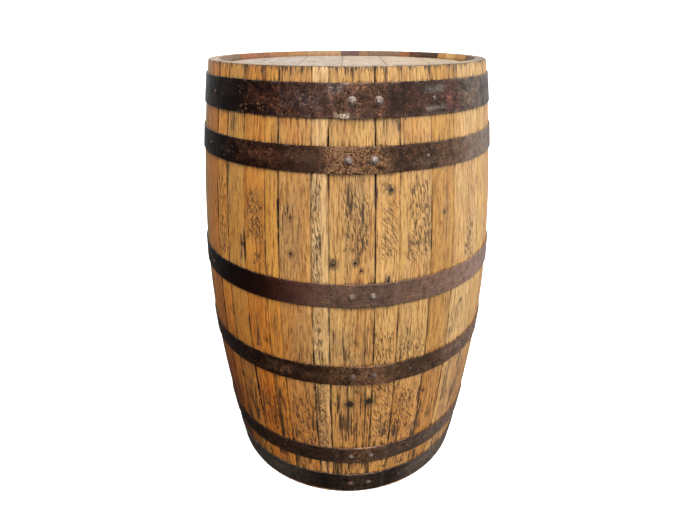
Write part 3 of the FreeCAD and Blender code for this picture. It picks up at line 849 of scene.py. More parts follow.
def foot_shade_and_tint(angle, z):
    """How much painted shade darkens the lower half, most of all on the left and a little on the lower
    right, how much more orange the lower left turns, and how far up from the foot the wood turns redder
    and streakier.
    """
    share = z / HEIGHT
    left, right = -np.sin(angle), np.sin(angle)
    # Painted shade: the lower left, away from the light, is darkened, and a little of the lower right
    dark = smooth_step(left, 0.58, 0.90) * smooth_step(-share, -0.60, -0.10)
    dark = dark + 0.22 * smooth_step(left, 0.70, 0.79) * smooth_step(-share, -0.16, -0.10)
    dark = dark + 0.32 * smooth_step(right, 0.59, 0.77) * smooth_step(-share, -0.45, -0.25)
    orange = smooth_step(left, 0.15, 0.50) * smooth_step(-share, -0.64, -0.50)
    orange = orange * (0.3 + 0.7 * smooth_step(share, 0.10, 0.20))
    return np.stack([dark, orange, smooth_step(-share, -0.50, -0.22)], -1)


def rim_chips(angle, z):
    """How much of the top outer edge has crumbled away."""
    along = angle * END_RADIUS
    near = smooth_step(z, HEIGHT - 7 * MM, HEIGHT)
    ragged = 0.55 + 0.45 * noise(along * 190, z * 60, CHIP_SEED)
    deep = np.clip(noise(along * 75, 3, CHIP_SEED + 1) - 0.25, 0, 1) * 2.4
    return near * (ragged * 0.9 + deep) * MM


class BungHole:
    """Where the hole is in its stave, and the pairs of rows and of columns that bound it."""

    def __init__(self, centre, columns_across):
        low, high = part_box("bung")
        self.centre = centre
        self.height = (low.z + high.z) / 2
        distances = (stave_rows(self.height) - self.height, columns_across)
        self.block = [np.flatnonzero(np.abs(d) < HOLE_BLOCK)[[0, -1]] for d in distances]

    def rounded(self, angle, z, share, layer_radius):
        """Moves the points of one layer so that the square block of cells becomes a round hole."""
        (bottom, top), (left, right) = self.block
        x = (angle - self.centre) * layer_radius
        y = z - self.height
        half_x = (x[bottom, right] - x[bottom, left]) / 2
        half_y = (y[top, left] - y[bottom, left]) / 2
        ring = np.maximum(np.abs(x) / half_x, np.abs(y) / half_y)
        moved = np.clip((HOLE_REACH - ring) / (HOLE_REACH - 1), 0, 1)
        radius = BUNG_RADIUS + BUNG_CLEARANCE - BUNG_TAPER * share * STAVE_THICKNESS
        stretch = 1 + moved * (radius / (np.hypot(x, y) + 1e-9) - 1)
        return self.centre + x * stretch / layer_radius, self.height + y * stretch


class StaveGrid:
    """The rows and columns over which a stave is set out, and how its layers lie on them."""

    def __init__(self, node, number):
        self.number = number
        first, last = stave_span(node)
        self.centre = (first + last) / 2
        width = (last - first) * BILGE_RADIUS
        columns = stave_columns(width)
        self.side = 2 * columns - 1
        self.from_joint = np.minimum(columns, 1 - columns) * width
        self.hole = BungHole(self.centre, self.side * width / 2) if node == "bung_stave" else None
        rows = stave_rows(self.hole and self.hole.height)
        self.from_end = np.minimum(rows, HEIGHT - rows)[:, None]
        self.angle, self.z = np.meshgrid(first + columns * (last - first), rows)
        gaps = [joint_opening(angle, rows)[:, None] for angle in (first, last)]
        self.gap = np.where(self.side < 0, *gaps)

    def face_depth(self):
        """How far the worn outer face lies inside the barrel's smooth outside."""
        end_easing = np.interp(self.from_end, END_ROWS[:3], END_EASING)
        eased = np.interp(self.from_joint, EDGE_COLUMNS, EDGE_EASING)
        sunk = 0.25 * MM * (1 + chance(self.number, 7, 31))
        wave = 0.16 * MM * (noise(self.angle * 60, self.z * 16, FACE_SEED + self.number) - 1)
        return end_easing + eased + sunk * (1 + self.side**2 * 0.4) - wave

    def layer(self, order, share):
        """Points of one layer, and their places across the grain, in depth and along it."""
        thickness = np.interp(self.from_end, END_THICKNESS[:, 0], END_THICKNESS[:, 1])
        depth = share * thickness + 0 * self.angle
        if order == 0:
            depth = np.maximum(depth, self.face_depth())
        chips = rim_chips(self.angle, self.z) * max(0.0, 1 - order / 2)
        depth = depth + chips * (1 - share)
        z = self.z - 0.5 * chips * (self.z > HEIGHT - 0.5 * MM)
        shut = max(0.0, 1 - share / JOINT_DEPTH)
        drawn_in = np.interp(self.from_joint, EDGE_COLUMNS[[0, 1, 3]], (1, 0.9, 0)) * shut / 2
        angle = self.angle - np.sign(self.side) * self.gap * drawn_in / outer_radius(z)
        radius = outer_radius(self.z) - depth
        if self.hole:
            angle, z = self.hole.rounded(angle, z, share, radius)
        across = (angle - self.centre) * BILGE_RADIUS
        return polar(radius, angle, z), np.stack([across, depth, z], -1)

    def marks(self):
        """Attributes that are the same in each layer."""
        gap = self.gap / MM
        dark = np.interp(self.from_joint, EDGE_COLUMNS, EDGE_DARKNESS)
        crack = dark * (np.clip(0.30 + 0.8 * gap, 0, 1) + np.clip(gap - 1.5, 0, 1.2))
        end = np.zeros_like(self.angle)
        end[[0, -1]] = 1
        return {
            "rough": rough_patches(self.angle, self.z),
            "sooty": sooty_patches(self.angle, self.z),
            "foot": foot_shade_and_tint(self.angle, self.z),
            "crack": crack,
            "end": end,
        }


def make_stave(node, number, material):
    grid = StaveGrid(node, number)
    layers = [grid.layer(order, share) for order, share in enumerate(LAYER_SHARES)]
    points, grain = (np.stack(part, 2) for part in zip(*layers))
    attributes = {"grain": grain}
    for key, values in grid.marks().items():
        attributes[key] = np.stack([values] * len(layers), 2)
    faces = block_faces(*points.shape[:3], grid.hole and grid.hole.block)
    piece = make_block(node + "_wood", points, faces, material, attributes)

    guessed = (OTHER_WOODS[number % len(OTHER_WOODS)], chance(number, 0, 5), chance(number, 2, 5))
    tint, streaky, open_grained = STAVE_LOOKS.get(number, guessed)
    piece["tint"] = [*srgb(*tint), 1.0]
    piece["chime"] = [*srgb(*CHIME_WOODS.get(number, OTHER_CHIME)), 1.0]
    piece["streaky"] = streaky
    piece["open_grained"] = open_grained
    piece["shift"] = [0.31 * number, 0.17 * number, 1.93 * number]
    return finish_piece(piece, BARREL, "stave_oak", node)


def make_staves():
    material = stave_material()
    for node in STAVES:
        number = BUNG_STAVE if node == "bung_stave" else int(node.split("_")[1])
        make_stave(node, number, material)


# ---- Hoops ----

# The part of the turn that is set out closely, for the lap and its joggle
LAP_SPAN = math.radians(24)
LAP_STEP = math.radians(0.35)
TURN_STEPS = 330

# Half a band's section, from its edge inwards: distance from the edge and height off the barrel
SECTION_EDGE = np.array([(0, 0.95), (0.3, 1.45), (1.0, 1.62), (2.4, 1.65)]) * MM
SECTION_MIDDLE = 9
INNER_EDGE = np.array([(0, 0.5), (0.6, 0)]) * MM

# How deep a band's edge waves and is nicked, and how deep its broad and small dents are
EDGE_WAVE = 0.175 * MM
NICK_DEPTH = 0.9 * MM
BROAD_DENT = 0.10 * MM
SMALL_DENT = 0.05 * MM
DENTS_STOP = math.radians(1.5)

# Each hoop's colour, its painted light and shade at a few angles (dark on the left, with painted sheen
# and reflection where it rises above 1), how rusty and honeycombed it is, and how much browner that
# painted shade is on the left
SHADE_ANGLES = (-180, -85, -50, -30, -10, 0, 6, 20, 32, 50, 85, 180)
HOOP_LOOKS = {
    "top_head_hoop": (
        (84, 65, 58), (0.8, 0.1, 0.05, 0.28, 1.26, 0.95, 0.76, 0.47, 0.72, 0.48, 0.7, 0.8),
        0.8, 0.12, 0.5,
    ),
    "top_quarter_hoop": (
        (100, 78, 64), (0.8, 0.1, 0.06, 0.24, 0.66, 0.72, 0.38, 0.38, 0.54, 1.08, 0.5, 0.8),
        0.8, 0.8, 0.8,
    ),
    "top_bilge_hoop": (
        (124, 100, 87), (0.7, 0.1, 0.05, 0.18, 1.3, 1.4, 1.26, 1.0, 1.05, 1.7, 0.9, 0.7),
        0.2, 0.0, 1.2,
    ),
    "bottom_bilge_hoop": (
        (110, 84, 66), (0.8, 0.5, 0.4, 0.5, 0.45, 0.5, 1.3, 0.78, 0.52, 1.12, 1.4, 0.8),
        0.7, 0.4, 0.4,
    ),
    "bottom_quarter_hoop": (
        (102, 82, 68), (0.9, 0.6, 0.34, 0.86, 0.78, 0.92, 1.5, 1.36, 0.84, 1.46, 0.7, 0.9),
        0.7, 0.15, 0.3,
    ),
    "bottom_head_hoop": (
        (84, 72, 65), (0.9, 1.3, 1.95, 2.1, 0.5, 0.85, 1.26, 0.42, 1.46, 1.56, 0.7, 0.9),
        0.6, 0.0, -0.4,
    ),
}

# Marks on the hoops: angle, height off the hoop's middle in mm, half width in degrees, half height
# in mm, colour, strength. The broad grey patches on the right (50 degrees on the top head hoop, 54 on
# the top quarter hoop,
# 46 on the bottom bilge hoop, 40 on the bottom quarter hoop, 38 on the bottom head hoop) and the
# blue-grey one at -36 on the bottom head hoop are painted sheen
HOOP_MARKS = {
    "top_head_hoop": [
        (30.0, -15, 5.5, 4, (160, 152, 144), 0.7), (31.0, 14, 4.5, 6, (118, 114, 112), 0.5),
        (37.5, 0, 3.6, 34, (112, 68, 60), 0.35), (50.0, 2, 9.0, 34, (112, 104, 88), 0.5),
        (-1.5, -23, 2.2, 3.5, (206, 198, 180), 0.9), (-14.0, -2, 8.0, 14, (92, 80, 82), 0.5),
        (-3.5, 17, 3.0, 7, (140, 136, 136), 0.7), (-30.0, 2, 8.0, 16, (118, 76, 52), 0.4),
        (-46.0, 10, 5.0, 12, (52, 32, 26), 0.5), (118.0, 3, 9.0, 12, (110, 100, 96), 0.6),
        (196.0, -6, 8.0, 10, (118, 80, 62), 0.6), (262.0, 4, 6.0, 12, (104, 94, 90), 0.6),
    ],
    "top_quarter_hoop": [
        (54.0, 0, 12.0, 30, (134, 126, 110), 0.5), (-32.0, 3, 9.0, 13, (118, 76, 54), 0.6),
        (-16.0, 6, 6.0, 10, (112, 84, 66), 0.5), (28.0, -8, 7.0, 8, (112, 92, 72), 0.4),
        (150.0, 2, 8.0, 9, (120, 82, 60), 0.6), (230.0, -4, 9.0, 9, (110, 102, 96), 0.5),
    ],
    "top_bilge_hoop": [
        (-6.2, -10, 1.8, 4.5, (160, 124, 82), 0.9), (100.0, 6, 6.0, 7, (140, 124, 112), 0.5),
        (210.0, -4, 8.0, 8, (96, 66, 50), 0.6),
    ],
    "bottom_bilge_hoop": [
        (46.0, 5, 9.0, 8, (116, 104, 94), 0.5), (-24.0, 2, 7.0, 12, (128, 98, 74), 0.5),
        (-10.0, -3, 6.0, 10, (120, 92, 70), 0.45), (6.0, 0, 9.0, 14, (150, 120, 92), 0.35),
        (170.0, 0, 9.0, 9, (106, 74, 56), 0.6),
    ],
    "bottom_quarter_hoop": [
        (40.0, 4, 8.0, 8, (112, 102, 94), 0.5), (140.0, 0, 9.0, 9, (104, 74, 58), 0.6),
    ],
    "bottom_head_hoop": [
        (38.0, 8, 9.0, 8, (112, 106, 102), 0.7), (-36.0, 4, 9.0, 12, (70, 66, 66), 0.6),
    ],
}


class HoopShape:
    """The cone a hoop lies on, and where its lap is."""

    def __init__(self, node):
        self.middle, self.width = hoop_band(node)
        self.slope = float(outer_slope(self.middle))
        points = node_points(node)
        raised = radii(points) - self.base_radius(points[:, 2])
        lap = angles(points)[raised > 1.5 * HOOP_THICKNESS + LAP_GAP]
        self.lap_end = float(lap.min())

    def base_radius(self, z):
        return outer_radius(self.middle) + HOOP_GAP + self.slope * (z - self.middle)

    def layer(self, angle):
        """How far the band stands off its cone, 0 on the barrel and one layer more on the lap."""
        down = smooth_step(angle, *JOGGLE)
        return (HOOP_THICKNESS + LAP_GAP) * (1 - down)

    def outward(self, angle):
        normal = polar(np.array(1.0), np.array(angle), np.array(-self.slope))
        return normal / np.linalg.norm(normal)

    def run(self):
        """Angles at which the section is set out, from the lap's outer end to its inner one."""
        lap = np.arange(0, LAP_SPAN, LAP_STEP)
        lap = np.append(np.array([0, 0.04, 0.1]) * math.radians(1), lap[1:])
        turn = 2 * math.pi + LAP_INNER_END - self.lap_end
        return self.lap_end + np.append(lap, np.linspace(LAP_SPAN, turn, TURN_STEPS))


def hoop_section(half):
    """Points round a band's section: place across it and thickness, the outside first."""
    inset, thick = SECTION_EDGE.T
    middle = np.linspace(-half + 6 * MM, half - 6 * MM, SECTION_MIDDLE)
    across = np.concatenate([inset - half, middle, (half - inset)[::-1]])
    thick = np.concatenate([thick, [thick[-1]] * SECTION_MIDDLE, thick[::-1]])
    inset, inner = INNER_EDGE.T
    across = np.concatenate([across, half - inset, [0], (inset - half)[::-1]])
    return across, np.concatenate([thick, inner, [0], inner[::-1]])


def hoop_edges(shape, run, seed):
    """How far a band reaches above and below its middle, with the lap's corners cut round."""
    short = np.clip(LAP_CORNER - (run - shape.lap_end) * END_RADIUS, 0, None)
    arc = LAP_CORNER - np.sqrt(np.clip(LAP_CORNER**2 - short**2, 0, None))
    reach = shape.width / 2 - 0.5 * arc - 0.3 * short
    upper = reach - EDGE_WAVE * (1 + noise(run * 9, 0, seed))
    lower = reach - EDGE_WAVE * (1 + noise(run * 9, 5, seed + 1))
    nick = smooth_step(noise(run * 34, 0, seed + 2), 0.62, 0.95)
    return upper[:, None], (lower - NICK_DEPTH * nick)[:, None]


def hoop_marks(node, degrees, offset, plain):
    """How strongly a hoop is marked at each point, and the marks' colour; some marks are patches of
    painted sheen.
    """
    marked = np.zeros(degrees.shape)
    colour = np.zeros(degrees.shape + (3,)) + plain
    for seed, mark in enumerate(HOOP_MARKS[node], MARK_SEED):
        angle, height, half_width, half_height, mark_colour, strength = mark
        across = degrees_apart(degrees, angle) / half_width
        away = np.maximum(across, np.abs(offset - height * MM) / (half_height * MM))
        away = away + 0.45 * noise(degrees * 0.5, offset * 160, seed)
        inside = strength * smooth_step(-away, -1.3, -0.3)
        colour[inside > marked] = srgb(*mark_colour)
        marked = np.maximum(marked, inside)
    return marked, colour


def hoop_looks(node, angle, offset, seed):
    """Attributes over a hoop that say how bright and brown its painted light and shade make it, and how
    rusty and marked it is.
    """
    colour, shades, rusty, comb, browner = HOOP_LOOKS[node]
    degrees = (np.degrees(angle) + 180) % 360 - 180
    marked, mark_colour = hoop_marks(node, degrees, offset, srgb(*colour))
    near_lap = smooth_step(-np.abs(degrees - 3), -14, -7)
    brown = browner * smooth_step(-degrees, 0, 32) * smooth_step(degrees, -130, -90)
    # Painted light and shade along the hoop: dark on the left, lighter with painted sheen and
    # reflection where it faces the light, and browner on the left
    shade = np.interp(degrees, SHADE_ANGLES, shades)
    shade = np.stack([shade, shade * (1 - 0.42 * brown), shade * (1 - 0.47 * brown)], -1)
    rust = np.maximum(near_lap, 0.8 * smooth_step(-np.abs(degrees + 32), -16, -6))
    patchy = 0.5 + 0.5 * noise(degrees / 25, (offset + hoop_band(node)[0]) * 12, seed)
    return {
        "rust": (np.maximum(rust, patchy) * rusty).ravel(),
        "marked": marked.ravel(),
        "mark_colour": mark_colour.reshape(-1, 3),
        "shade": shade.reshape(-1, 3),
        "comb": (near_lap * comb).ravel(),
    }


def make_hoop(node, shape, seed, material):
    half = shape.width / 2
    run = shape.run()
    across, thick = hoop_section(half)
    upper, lower = hoop_edges(shape, run, seed)
    scaled = across / half
    offset = np.where(scaled > 0, scaled * upper, scaled * lower)
    z = shape.middle + offset
    angle = run[:, None] + 0 * z
    dent = BROAD_DENT * (1 + noise(angle * 14, z * 30, seed + 3))
    dent = dent + SMALL_DENT * (1 + noise(angle * 60, z * 160, seed + 4))
    clear_of_lap = (run < shape.lap_end + 2 * math.pi - DENTS_STOP)[:, None]
    dent = dent * clear_of_lap * (thick > 0.9 * MM)
    points = polar(shape.base_radius(z) + shape.layer(angle) + thick + dent, angle, z)

    rows, columns = points.shape[:2]
    faces = grid_faces(rows, columns)[:, ::-1]
    caps = [list(range(columns)), list(range((rows - 1) * columns, rows * columns))[::-1]]
    along = (angle - shape.lap_end) * END_RADIUS
    attributes = hoop_looks(node, angle, offset, seed + 5)
    attributes["run"] = np.stack([along, offset, 0 * along], -1).reshape(-1, 3)
    attributes["edge"] = smooth_step(np.abs(scaled) + 0 * angle, 0.86, 1.0).ravel()
    piece = make_mesh(node + "_band", points, faces.tolist() + caps, material, attributes, 40)
    piece["tint"] = [*srgb(*HOOP_LOOKS[node][0]), 1.0]
    return finish_piece(piece, BARREL, "hoop_steel", node)


def make_hoops(shapes):
    material = hoop_material()
    for order, node in enumerate(HOOPS):
        make_hoop(node, shapes[node], HOOP_SEED + order * 7, material)


# ---- Rivets and screws ----

# Radius of the head, radius of the stub, its rise, how lumpy (all mm) and how bright its top is, partly
# worn and partly painted highlight
RIVET_SHAPES = {
    "top_head_hoop": (8.0, 4.2, 2.6, 0.75, 0.85),
    "top_quarter_hoop": (8.0, 4.2, 2.6, 0.65, 0.85),
    "top_bilge_hoop": (7.2, 3.3, 3.6, 0.25, 0.65),
    "bottom_bilge_hoop": (7.0, 3.0, 0.8, 0.20, 0.3),
    "bottom_quarter_hoop": (6.5, 3.0, 0.8, 0.20, 0.55),
    "bottom_head_hoop": (6.5, 3.0, 0.8, 0.20, 0.3),
}
RIVET_DOME = 2.4
RIVET_SIDES = 36

# Radius and height in mm of a screw's head, down into its recess, and how bright each ring is, partly
# worn and partly painted highlight
SCREW_RINGS = [
    (3.2, -0.4, 0.2), (3.3, 0.4, 0.5), (3.25, 1.0, 0.8), (2.9, 1.5, 1), (2.3, 1.82, 1), (1.75, 1.9, 1),
    (1.45, 1.82, 0.6), (1.4, 1.2, 0), (1.35, 0.85, 0), (0.7, 0.8, 0), (0.1, 0.8, 0),
]
SCREW_HEIGHT = 1.9
SCREW_LUMPS = 0.06
SCREW_SIDES = 24

# A head leans a little from this height up, and knocks show in full from the other one
LEAN_FROM = 2.6 * MM
KNOCKS_FROM = 2 * MM


def islands(node):
    """The separate solids of a node, as arrays of points."""
    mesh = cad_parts[node].data
    parent = np.arange(len(mesh.vertices))
    edges = np.array([e.vertices[:] for e in mesh.edges])
    while True:
        low = np.minimum(parent[edges[:, 0]], parent[edges[:, 1]])
        before = parent.copy()
        np.minimum.at(parent, edges[:, 0], low)
        np.minimum.at(parent, edges[:, 1], low)
        parent = parent[parent]
        if (parent == before).all():
            break
    points = node_points(node)
    return [points[parent == root] for root in np.unique(parent)]


def fastener_place(points, shapes):
    """The hoop that a rivet or screw is on, the way it faces and the top of its head."""
    middle = (points.min(0) + points.max(0)) / 2
    node = min(shapes, key=lambda name: abs(shapes[name].middle - middle[2]))
    out = shapes[node].outward(math.atan2(middle[0], -middle[1]))
    rise = points @ out
    return node, out, points[rise > rise.max() - 0.01 * MM].mean(0)


def lathe_points(profile, sides, seed, lumps):
    """Rings of points round Z, from a profile in mm, knocked out of true by hammering."""
    turn = np.linspace(0, 2 * math.pi, sides, endpoint=False)
    radius, height = np.array(profile).T * MM
    radius, around = np.meshgrid(radius, turn, indexing="ij")
    height = height[:, None] + 0 * around
    x, y = radius * np.cos(around), radius * np.sin(around)
    knock = noise(x * 330, y * 330, seed) * lumps * MM
    lean = 0.2 * noise(seed, 0.3, 3) * x + 0.2 * noise(seed, 0.6, 4) * y
    lean = lean * (height > LEAN_FROM)
    swell = 1 + 0.05 * noise(np.cos(around) * 1.4 + 3, np.sin(around) * 1.4, seed + 9)
    lift = np.clip(height / KNOCKS_FROM, 0, 1)
    return np.stack([x * swell, y * swell, height + (knock + lean) * lift], -1)


def placed_points(points, base, out):
    """Points whose Z becomes the outward axis, standing on a base."""
    side = np.cross([0, 0, 1.0], out)
    side /= np.linalg.norm(side)
    up = np.cross(out, side)
    return base + points[..., :1] * side + points[..., 1:2] * up + points[..., 2:] * out


def turned_group(name, parts, sides, material):
    """Many lathe-built solids as one mesh; the first and last rings of each close at its middle."""
    points, faces, high = [], [], []
    for rings, worn in parts:
        start = len(points)
        count = rings.shape[0]
        points += rings.reshape(-1, 3).tolist()
        high += np.repeat(worn, sides).tolist()
        faces += grid_faces(count, sides, start).tolist()
        faces.append(list(range(start, start + sides))[::-1])
        faces.append(list(range(start + (count - 1) * sides, start + count * sides)))
    return make_mesh(name, points, faces, material, {"high": high}, 50)


def rivet_profile(head, stub, rise):
    """Radius and height in mm of a rivet's peened end, from its edge to the middle of its top."""
    dome = [(head * math.cos(t), RIVET_DOME * math.sin(t)) for t in np.linspace(0.0, 1.15, 7)]
    dome = [(r, h) for r, h in dome if r > stub + 0.3]
    foot = [(stub + 0.15, RIVET_DOME * 0.97), (stub, RIVET_DOME + 0.25 * rise)]
    tip = [(stub * 0.97, RIVET_DOME + 0.72 * rise), (stub * 0.80, RIVET_DOME + 0.95 * rise)]
    crown = [(stub * 0.45, RIVET_DOME + rise), (stub * 0.05, RIVET_DOME + rise * 0.97)]
    return [(head * 0.98, -0.4)] + dome + foot + tip + crown


def make_rivets(shapes):
    parts = []
    for seed, points in enumerate(islands("hoop_rivets"), RIVET_SEED):
        node, out, top = fastener_place(points, shapes)
        head, stub, rise, lumps, bright = RIVET_SHAPES[node]
        profile = rivet_profile(head, stub, rise)
        base = top - out * (RIVET_DOME + rise + 0.6 * lumps + 0.3) * MM
        rings = lathe_points(profile, RIVET_SIDES, seed, lumps)
        heights = np.array(profile)[:, 1]
        # Bright towards the top of the dome, partly wear and partly painted highlight, and dark at its
        # foot as painted shade
        worn = bright * smooth_step(heights, 0.15 * RIVET_DOME, 0.95 * RIVET_DOME)
        parts.append((placed_points(rings, base, out), worn))
    material = small_steel_material("rivet_steel", srgb(56, 42, 36), srgb(180, 168, 156), 0.8)
    piece = turned_group("rivet_heads", parts, RIVET_SIDES, material)
    return finish_piece(piece, BARREL, "rivet_steel", "hoop_rivets")


def make_screws(shapes):
    parts = []
    rings = np.array(SCREW_RINGS)
    for seed, points in enumerate(islands("hoop_screws"), SCREW_SEED):
        _, out, top = fastener_place(points, shapes)
        head = lathe_points(rings[:, :2], SCREW_SIDES, seed, SCREW_LUMPS)
        # Painted light: screws high on the right, where the key light falls, are painted bright, the
        # others a quarter as bright
        bright = 1.0 if top[0] > 0 and top[2] > 0.7 * HEIGHT else 0.25
        base = top - out * SCREW_HEIGHT * MM
        parts.append((placed_points(head, base, out), rings[:, 2] * bright))
    material = small_steel_material("screw_steel", srgb(34, 25, 20), srgb(160, 152, 142), 1.0)
    piece = turned_group("screw_heads", parts, SCREW_SIDES, material)
    return finish_piece(piece, BARREL, "screw_steel", "hoop_screws")


# ---- Heads, dowels and bung ----

HEAD_TIP = float(outer_radius(CROZE_MOUTH)) - STAVE_THICKNESS + CROZE_DEPTH - CROZE_CLEARANCE
BOARD_LAYERS = (0, 0.2, 0.6, 1)

# Distance from a joint between boards, how far the face is eased there, and how dark it is
BOARD_EDGE = np.array([0, 0.6, 2.0, 6]) * MM
BOARD_EASING = np.array([0.9, 0.3, 0, 0]) * MM
BOARD_DARKNESS = (1, 0.55, 0.1, 0)

TOP_HEAD_WOODS = [
    (152, 140, 128), (158, 146, 134), (162, 146, 132), (166, 148, 128), (170, 150, 124),
    (164, 142, 112),
]
BOTTOM_HEAD_WOODS = [
    (178, 146, 108), (190, 158, 118), (170, 138, 102), (186, 154, 114), (180, 150, 112),
    (168, 136, 98),
]

# The bung from its inner end to its outer one: place along it, counted from the staves' outside,
# and how far inside its taper it is, in mm
BUNG_OUTLINE = [
    (-29, 26), (-29, 14), (-29, 1.5), (-28.6, 0.4), (-27.5, 0), (-20, 0), (-10, 0), (-1, 0),
    (0.5, 0.15), (3, 0.1), (5.0, 0), (5.8, 0.15), (6.6, 0.7), (7, 1.6), (7, 5), (6.9, 12), (6.85, 20),
    (6.8, 26),
]
BUNG_SIDES = 64
BUNG_LUMPS = 0.12


def head_surface(radius):
    """How far the outer and the inner face have fallen back from flat, at a radius."""
    inner_drop = HEAD_THICKNESS - HEAD_OUTER_DROP - TONGUE_THICKNESS
    outer = np.interp(HEAD_TIP - radius, [0, HEAD_OUTER_BEVEL], [HEAD_OUTER_DROP, 0])
    inner = np.interp(HEAD_TIP - radius, [0, HEAD_INNER_BEVEL], [inner_drop, 0])
    return outer, inner


def board_plan(low, high):
    """Points over a board from above: x across it, y along it to the round edge."""
    edge = BOARD_EDGE[:3]
    middle = np.linspace(low + BOARD_EDGE[3], high - BOARD_EDGE[3], 12)
    across = np.concatenate([low + edge, middle, (high - edge)[::-1]])
    tip = HEAD_TIP - 0.05 * MM
    across = np.clip(across, -tip * 0.9995, tip * 0.9995)
    near = np.array([0, 0.006, 0.02, 0.045, 0.08])
    share = np.concatenate([near, np.linspace(0.12, 0.88, 36), (1 - near)[::-1]]) * 2 - 1
    x, share = np.meshgrid(across, share)
    return x, share * np.sqrt(tip**2 - x**2)


def make_head_board(node, colour, upwards, seed, material):
    low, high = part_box(node)
    outside = high.z if upwards else low.z
    x, y = board_plan(low.x, high.x)
    from_joint = np.minimum(x - low.x, high.x - x)
    outer, inner = head_surface(np.hypot(x, y))
    outer = outer + np.interp(from_joint, BOARD_EDGE, BOARD_EASING)
    outer = outer + 0.15 * MM * (1 + noise(x * 40, y * 5, seed))
    sunk = 0.25 * MM * chance(seed, 2, 9)
    layers = []
    for share in BOARD_LAYERS:
        depth = (outer + sunk) * (1 - share) + share * (HEAD_THICKNESS - inner)
        layers.append(np.stack([x, y, outside - depth if upwards else outside + depth], -1))
    points = np.stack(layers, 2)
    faces = block_faces(*points.shape[:3])
    if not upwards:
        faces = faces[:, ::-1]
    dark = np.interp(from_joint, BOARD_EDGE, BOARD_DARKNESS)
    attributes = {"grain": points[..., [0, 2, 1]], "crack": np.stack([dark] * len(layers), 2)}
    piece = make_block(node + "_wood", points, faces, material, attributes)
    piece["tint"] = [*srgb(*colour), 1.0]
    piece["shift"] = [0.43 * seed, 0.11 * seed, 2.3 * seed]
    return finish_piece(piece, BARREL, "head_oak", node)


def make_heads():
    material = head_material()
    dowel_wood = plain_wood_material("dowel_wood", srgb(196, 160, 112), srgb(150, 112, 70))
    for end, woods, upwards in (("top", TOP_HEAD_WOODS, True), ("bottom", BOTTOM_HEAD_WOODS, False)):
        for i, colour in enumerate(woods, 1):
            make_head_board(f"{end}_head_board_{i}", colour, upwards, i + 20 * upwards, material)
        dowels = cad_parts[end + "_head_dowels"]
        dowels.data.materials.clear()
        dowels.data.materials.append(dowel_wood)


def make_bung():
    low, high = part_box("bung")
    middle = (low + high) / 2
    out = np.array([middle.x, middle.y, 0.0])
    out /= np.linalg.norm(out)
    face = max(node_points("bung") @ out)
    profile = []
    for along, inset in BUNG_OUTLINE:
        profile.append((max(BUNG_RADIUS / MM + BUNG_TAPER * along - inset, 0.2), along))
    rings = lathe_points(profile, BUNG_SIDES, BUNG_SEED, BUNG_LUMPS)
    rings[..., 2] = np.minimum(rings[..., 2], BUNG_PROUD)
    base = out * (face - BUNG_PROUD) + np.array([0, 0, middle.z])
    placed = placed_points(rings, base, out)
    material = plain_wood_material("bung_wood", srgb(196, 158, 112), srgb(140, 100, 62))
    piece = turned_group("bung_plug", [(placed, np.ones(len(profile)))], BUNG_SIDES, material)
    return finish_piece(piece, BUNG, "bung_wood", "bung")


# ---- Floor, light and camera ----

FLOOR_PROFILE = [
    (0.001, 0), (1, 0), (3, 0), (6, 0), (9, 0.02), (11, 0.3), (12.5, 1.2), (13.3, 2.6), (13.6, 4.2),
]
WALL_PROFILE = [(13.6, 4.2), (13.6, 9), (13.6, 15)]
SWEEP_SIDES = 96

# Brightness of the room from left to right and from below to above, and of its window
ROOM_SIDEWAYS = [(-1.0, 0.26), (-0.75, 0.44), (-0.4, 0.67), (0.2, 0.84), (1.0, 0.97)]
ROOM_UPWARDS = [(-1.0, 0.04), (-0.6, 0.10), (-0.2, 0.45), (0.1, 0.85), (1.0, 1.15)]
ROOM_WINDOW = [(-1.0, 0.0), (0.3, 0.0), (0.7, 0.36), (1.0, 0.60)]

CAMERA_PLACE = (0, -1.0797, 0.9441)
CAMERA_PITCH = 24.81
CAMERA_LENS = 26.35


def make_sweep(name, profile, glow):
    """A white surface turned round Z, given as radii and heights, that no bounced light sees."""
    turn = np.linspace(0, 2 * math.pi, SWEEP_SIDES, endpoint=False)
    radius, height = (np.array(part)[:, None] + 0 * turn for part in zip(*profile))
    points = polar(radius, turn + 0 * radius, height)
    faces = grid_faces(len(profile), SWEEP_SIDES).tolist()
    piece = make_mesh(name, points, faces, backdrop_material(name, glow), smooth_angle=60)
    piece.visible_diffuse = False
    piece.visible_glossy = False
    return piece


def make_floor():
    """A wide white sweep, flat under the barrel, and a white wall behind it that casts no shadow."""
    make_sweep("floor", FLOOR_PROFILE, 0.92)
    wall = make_sweep("wall", WALL_PROFILE, 1.0)
    wall.visible_shadow = False


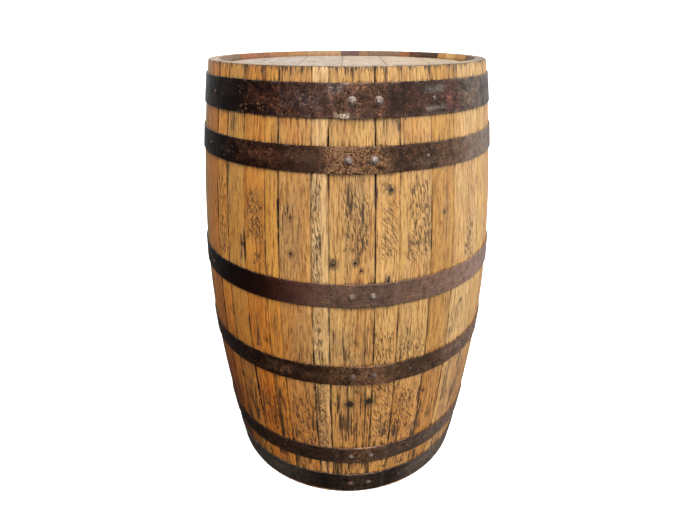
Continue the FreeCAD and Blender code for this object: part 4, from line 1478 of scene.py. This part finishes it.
def ramp(tree, value, stops):
    """A strength that follows a value from -1 to 1 through a few stops."""
    scaled = tree.nodes.new("ShaderNodeMapRange")
    scaled.inputs["From Min"].default_value = -1.0
    tree.links.new(value, scaled.inputs[0])
    made = tree.nodes.new("ShaderNodeValToRGB")
    made.color_ramp.interpolation = "EASE"
    while len(made.color_ramp.elements) < len(stops):
        made.color_ramp.elements.new(0.5)
    for element, (place, level) in zip(made.color_ramp.elements, stops):
        element.position = (place + 1) / 2
        element.color = (level, level, level, 1.0)
    tree.links.new(scaled.outputs[0], made.inputs[0])
    return made.outputs[0]


def make_world():
    """A soft room: dark on the left and below, bright on the right and above."""
    world = bpy.data.worlds.new("room")
    world.use_nodes = True
    tree = world.node_tree
    place = tree.nodes.new("ShaderNodeTexCoord")
    parts = tree.nodes.new("ShaderNodeSeparateXYZ")
    tree.links.new(place.outputs["Generated"], parts.inputs[0])
    both = tree.nodes.new("ShaderNodeMath")
    both.operation = "MULTIPLY_ADD"
    for index, (axis, stops) in enumerate(((0, ROOM_SIDEWAYS), (2, ROOM_UPWARDS), (0, ROOM_WINDOW))):
        tree.links.new(ramp(tree, parts.outputs[axis], stops), both.inputs[index])
    background = tree.nodes["Background"]
    background.inputs["Color"].default_value = (1.0, 0.99, 0.975, 1.0)
    tree.links.new(both.outputs[0], background.inputs["Strength"])
    bpy.context.scene.world = world


def add_sun(name, place, energy, spread, colour):
    """A soft sun that shines from a place towards the barrel's foot."""
    light = bpy.data.lights.new(name, "SUN")
    light.energy = energy
    light.angle = math.radians(spread)
    light.color = colour
    piece = bpy.data.objects.new(name, light)
    piece.location = place
    piece.rotation_euler = (-Vector(place)).to_track_quat("-Z", "Y").to_euler()
    bpy.context.scene.collection.objects.link(piece)


def make_camera():
    data = bpy.data.cameras.new("camera")
    data.lens = CAMERA_LENS
    data.sensor_width = 36
    data.clip_start, data.clip_end = 0.01, 200
    camera = bpy.data.objects.new("camera", data)
    camera.location = CAMERA_PLACE
    camera.rotation_euler = (math.radians(90 - CAMERA_PITCH), 0, 0)
    bpy.context.scene.collection.objects.link(camera)
    bpy.context.scene.camera = camera


shapes = {node: HoopShape(node) for node in HOOPS}
make_staves()
make_hoops(shapes)
make_rivets(shapes)
make_screws(shapes)
make_heads()
make_bung()
make_floor()
make_world()
add_sun("key", (0.32, -1.05, 1.75), 2.95, 40, (1.0, 0.985, 0.96))
add_sun("fill", (-0.2, 1.4, 0.8), 1.0, 80, (1.0, 1.0, 1.0))
make_camera()
bpy.context.scene.view_settings.view_transform = "Standard"
